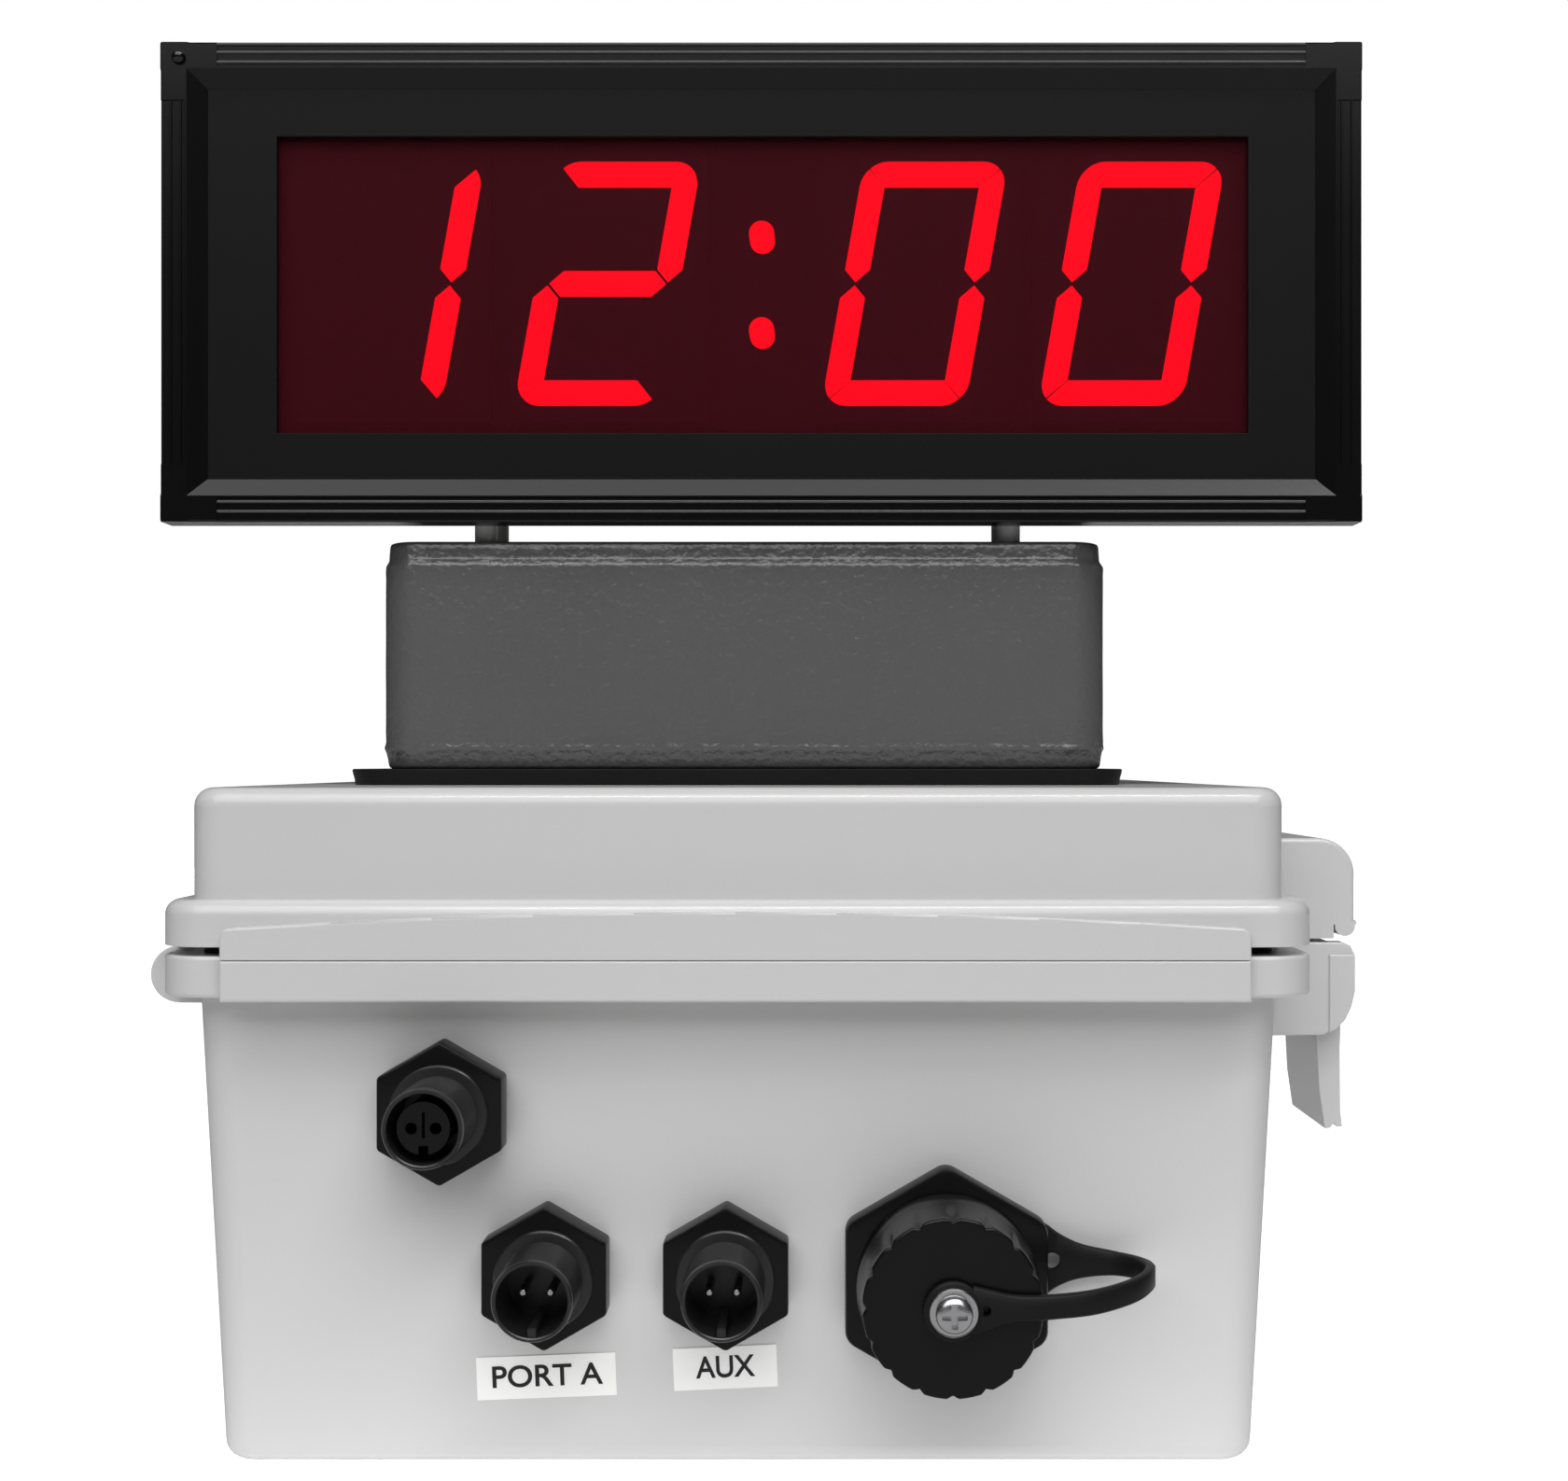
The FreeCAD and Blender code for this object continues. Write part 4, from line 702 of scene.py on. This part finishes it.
def make_strap_eyes():
    """The eye under the cap screw, and the ring behind the hexagon."""
    cap_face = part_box("port_cap")[0].y - STRAP_ON_CAP
    bm = bmesh.new()
    lathe_y(bm, (*port_centre("cap_screw"), cap_face), in_metres(STRAP_EYE), 72,
            close=(False, False))
    lathe_y(bm, (*port_centre("data_port_gasket"), WALL_Y), in_metres(STRAP_RING), 96,
            close=(False, False))
    bmesh.ops.remove_doubles(bm, verts=bm.verts, dist=0.01 * MM)
    add_piece("strap_eyes", bm, "base", "black_rubber", ["tether_strap"], 40)


# Labels

LABEL_LETTER = 4.3 * MM
LABEL_INK_PROUD = 0.04 * MM

# In the font's own units, before the words are scaled
LABEL_INK_DEPTH = 0.004
LABEL_INK_WEIGHT = 0.014

# Node, words, width of the words and tilt of the plate in degrees
LABELS = (("power_label", "PORT A", 21.5 * MM, 2.3), ("input_label", "AUX", 11.5 * MM, 2.6))


def make_label(node_name, words, width, tilt):
    """Printed words of a given width on a label, in the tilt of its CAD plate."""
    low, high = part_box(node_name)
    curve = bpy.data.curves.new(node_name + "_words", "FONT")
    curve.body = words
    curve.align_x = "CENTER"
    curve.align_y = "CENTER"
    curve.offset = LABEL_INK_WEIGHT
    curve.extrude = LABEL_INK_DEPTH
    text = bpy.data.objects.new(node_name + "_words", curve)
    bpy.context.scene.collection.objects.link(text)
    bpy.context.view_layer.update()
    height = LABEL_LETTER / text.dimensions.y
    text.scale = (width / text.dimensions.x, height, height)
    text.location = ((low.x + high.x) / 2, low.y - LABEL_INK_PROUD, (low.z + high.z) / 2)
    text.rotation_euler = (math.radians(90), math.radians(-tilt), 0)
    bpy.context.view_layer.update()
    graph = bpy.context.evaluated_depsgraph_get()
    mesh = bpy.data.meshes.new_from_object(text.evaluated_get(graph))
    mesh.transform(text.matrix_world)
    bpy.data.objects.remove(text)
    ink = bpy.data.objects.new(node_name + "_ink", mesh)
    bpy.context.scene.collection.objects.link(ink)
    shade(ink, MATERIALS["label_ink"])
    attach(ink, "base")


# Rubber mat and sensor dome

MAT_CORNER = 9 * MM
MAT_RAGGED = 0.25 * MM
MAT_RAGGED_WAVE = 3 * MM
DOME_STEPS = 12
DOME_LAST_ANGLE = 88
DOME_FOOT = 0.15 * MM


def make_mat():
    """Cut sheet of rubber with a slightly ragged edge."""
    low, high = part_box("rubber_mat")
    middle = (low + high) / 2
    half_x, half_y = (high.x - low.x) / 2, (high.y - low.y) / 2
    thick = high.z - low.z
    rows = [(low.z, 0.8 * MM), (low.z + 0.3 * MM, 0.6 * MM), (low.z + thick * 0.4, 0.45 * MM),
            (low.z + thick * 0.7, 0.15 * MM), (high.z - 0.25 * MM, 0), (high.z, 0.25 * MM)]
    outline = rounded_outline(half_x, half_y, MAT_CORNER, 10, 60)
    bm = bmesh.new()
    rings = []
    for z, inset in rows:
        ring = []
        for point, out in outline:
            place = Vector((point.x + middle.x, point.y + middle.y, z))
            ragged = max(noise.noise(place / MAT_RAGGED_WAVE), 0) * MAT_RAGGED
            ring.append(place - out * (inset + ragged))
        rings.append(ring)
    skin_rings(bm, rings)
    add_piece("mat_sheet", bm, "lid", "black_rubber", ["rubber_mat"], 40)


def make_sensor_dome():
    """Small glossy dome in the upper left corner block."""
    low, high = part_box("light_sensor")
    centre = ((low.x + high.x) / 2, (low.z + high.z) / 2, high.y)
    radius = (high.x - low.x) / 2
    bm = bmesh.new()
    profile = [(radius, 0)]
    for step in range(DOME_STEPS + 1):
        angle = math.radians(DOME_LAST_ANGLE * step / DOME_STEPS)
        rise = DOME_FOOT + (radius - DOME_FOOT) * math.sin(angle)
        profile.append((radius * math.cos(angle), rise))
    lathe_y(bm, centre, profile, 40)
    add_piece("sensor_lens", bm, "lid", "sensor_dome", ["light_sensor"], 50)


# Raised lines along the rails of the display's frame, in a lighter copy of the frame's black that
# paints their highlight

RIDGE_RADIUS = 0.34 * MM
RIDGE_PROUD = 0.12 * MM
RIDGE_INSETS = (2.2 * MM, 4.3 * MM)
TOP_EDGE_RIDGE = 0.45 * MM


def add_rod(bm, start, end, radius, steps=12):
    """Round bar between two points."""
    along = (end - start).normalized()
    side = along.orthogonal().normalized()
    across = along.cross(side)
    rings = []
    for place in (start, end):
        turns = [2 * math.pi * step / steps for step in range(steps)]
        rings.append([place + (side * math.cos(a) + across * math.sin(a)) * radius for a in turns])
    skin_rings(bm, rings)


def make_rail_ridges():
    """Round lines that stand a little out of the faces of the long rails and catch the light,
    coloured lighter than the frame as a painted highlight.
    """
    rails = (("top", (TOP_EDGE_RIDGE, *RIDGE_INSETS)), ("bottom", RIDGE_INSETS))
    for name, insets in rails:
        low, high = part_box("frame_rail_" + name)
        bm = bmesh.new()
        for inset in insets:
            z = high.z - inset if name == "top" else low.z + inset
            y = low.y + RIDGE_RADIUS - RIDGE_PROUD
            start, end = Vector((low.x, y, z)), Vector((high.x, y, z))
            add_rod(bm, start, end, RIDGE_RADIUS)
        ridges = add_piece("rail_ridges_" + name, bm, "lid", "frame_black")
        # Painted highlight: the ridges take the lighter copy of the frame's black
        shade(ridges, MATERIALS["frame_ridge_painted_highlight"])


# Moulded pieces whose CAD shape only needs its edges rounded

SOFT_EDGES = {
    "latch_lever_front": 0.35, "latch_lever_rear": 0.35, "display_case": 0.5, "rear_cover": 0.4,
    "bezel_panel": 0.15, "power_module": 0.6, "terminal_block": 0.3, "mounting_plate": 0.3,
}
WELD_DISTANCE = 0.005 * MM
FLAT_ANGLE = math.radians(1.5)
SHARP_ANGLE = math.radians(35)


def soften(name, width):
    """Stand in for a CAD piece with a copy whose sharp edges are rounded."""
    bm = bmesh.new()
    bm.from_mesh(NODES[name].data)
    bmesh.ops.remove_doubles(bm, verts=bm.verts, dist=WELD_DISTANCE)
    bmesh.ops.dissolve_limit(bm, angle_limit=FLAT_ANGLE, verts=bm.verts, edges=bm.edges)
    piece = add_piece(name + "_moulded", bm, BODY_OF[name], SLOT_OF[name], [name], recalc=False)
    bevel = piece.modifiers.new("edge", "BEVEL")
    bevel.width = width
    bevel.segments = 3
    bevel.limit_method = "ANGLE"
    bevel.angle_limit = SHARP_ANGLE
    bevel.harden_normals = True
    apply_modifiers(piece)


# Parts on the control board, in millimetres

# Centre x and y, width, depth and height
CHIPS = ((-26, 6, 14, 14, 1.6), (-44, 30, 8, 12, 2.2), (-22, 34, 10, 6, 1.8), (-44, 8, 6, 5, 1.5),
         (-8, 54, 18, 8, 3.4), (-10, 20, 4, 6, 1.2))
CHIP_GAP = 0.3
LEG_PITCH = 1.27
LEG_SIZE = (0.5, 1.4)
LEG_RISE = (0.02, 0.55)

# Centre x and y, radius and height
CAN_CAPACITORS = ((-50, 52, 4, 10), (-38, 52, 4, 10), (-26, 54, 3, 8), (52, -4, 5, 12),
                  (40, -4, 4, 10))
CAN_STEPS = 40
RELAY_COUNT = 4
RELAY_PITCH = 26
RELAY_ROW_Y = -48
RELAY_SIZE = (19, 15, 15.5)


def add_board_block(bm, centre, size, z, bevel):
    """Block on the board, with its centre and size in millimetres and its heights in metres."""
    x, y = [((at - across / 2) * MM, (at + across / 2) * MM) for at, across in zip(centre, size)]
    add_block(bm, x, y, z, bevel)


def make_chips(top):
    bm = bmesh.new()
    for x, y, wide, deep, tall in CHIPS:
        heights = (top + CHIP_GAP * MM, top + tall * MM)
        add_board_block(bm, (x, y), (wide, deep), heights, 0.2 * MM)
    add_piece("board_chips", bm, "base", "port_black")


def make_chip_legs(top):
    bm = bmesh.new()
    heights = (top + LEG_RISE[0] * MM, top + LEG_RISE[1] * MM)
    for x, y, wide, deep, _ in CHIPS:
        count = int(wide / LEG_PITCH)
        for side in (-1, 1):
            for index in range(count):
                at = x + (index - (count - 1) / 2) * LEG_PITCH
                edge = y + side * (deep / 2 + 0.5)
                add_board_block(bm, (at, edge), LEG_SIZE, heights, 0.05 * MM)
    add_piece("board_chip_legs", bm, "base", "zinc_plate")


def make_capacitors(top):
    """Round cans with a groove near the foot."""
    bm = bmesh.new()
    turns = [2 * math.pi * step / CAN_STEPS for step in range(CAN_STEPS)]
    for x, y, radius, tall in CAN_CAPACITORS:
        profile = [(radius, 0.0), (radius, 1.2), (radius * 0.93, 1.6), (radius, 2.0),
                   (radius, tall - 0.5), (radius * 0.93, tall), (radius * 0.2, tall - 0.15)]
        rings = []
        for r, height in profile:
            z = top + height * MM
            rings.append([((x + r * math.cos(a)) * MM, (y + r * math.sin(a)) * MM, z)
                          for a in turns])
        skin_rings(bm, rings)
    add_piece("board_capacitors", bm, "base", "zinc_plate")


def make_relays(top):
    bm = bmesh.new()
    wide, deep, tall = RELAY_SIZE
    for index in range(RELAY_COUNT):
        x = (index - (RELAY_COUNT - 1) / 2) * RELAY_PITCH
        add_board_block(bm, (x, RELAY_ROW_Y), (wide, deep), (top, top + tall * MM), 0.6 * MM)
    add_piece("board_relays", bm, "base", "port_black")


MATERIALS = make_materials()


def dress_frame():
    """Give every CAD node its slot's finish; the board behind the digits is coloured near-black as
    painted shade for the shadow inside the display case.
    """
    for name, node in NODES.items():
        shade(node, MATERIALS[SLOT_OF[name]])
    # Painted shade: the board behind the digits is coloured near-black
    shade(NODES["display_board"], MATERIALS["painted_shade_backing"])


make_camera()
make_studio()
dress_frame()
make_housing()
make_mat()
for port_name, is_female in (("sensor_port", True), ("power_port", False), ("input_port", False)):
    make_small_port(port_name, is_female)
make_data_port()
make_port_cap()
make_cap_screw()
make_cap_washer()
make_strap_band()
make_strap_eyes()
for label in LABELS:
    make_label(*label)
make_sensor_dome()
make_rail_ridges()
for soft_name, edge_width in SOFT_EDGES.items():
    soften(soft_name, edge_width * MM)
for make_parts in (make_chips, make_chip_legs, make_capacitors, make_relays):
    make_parts(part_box("control_board")[1].z)
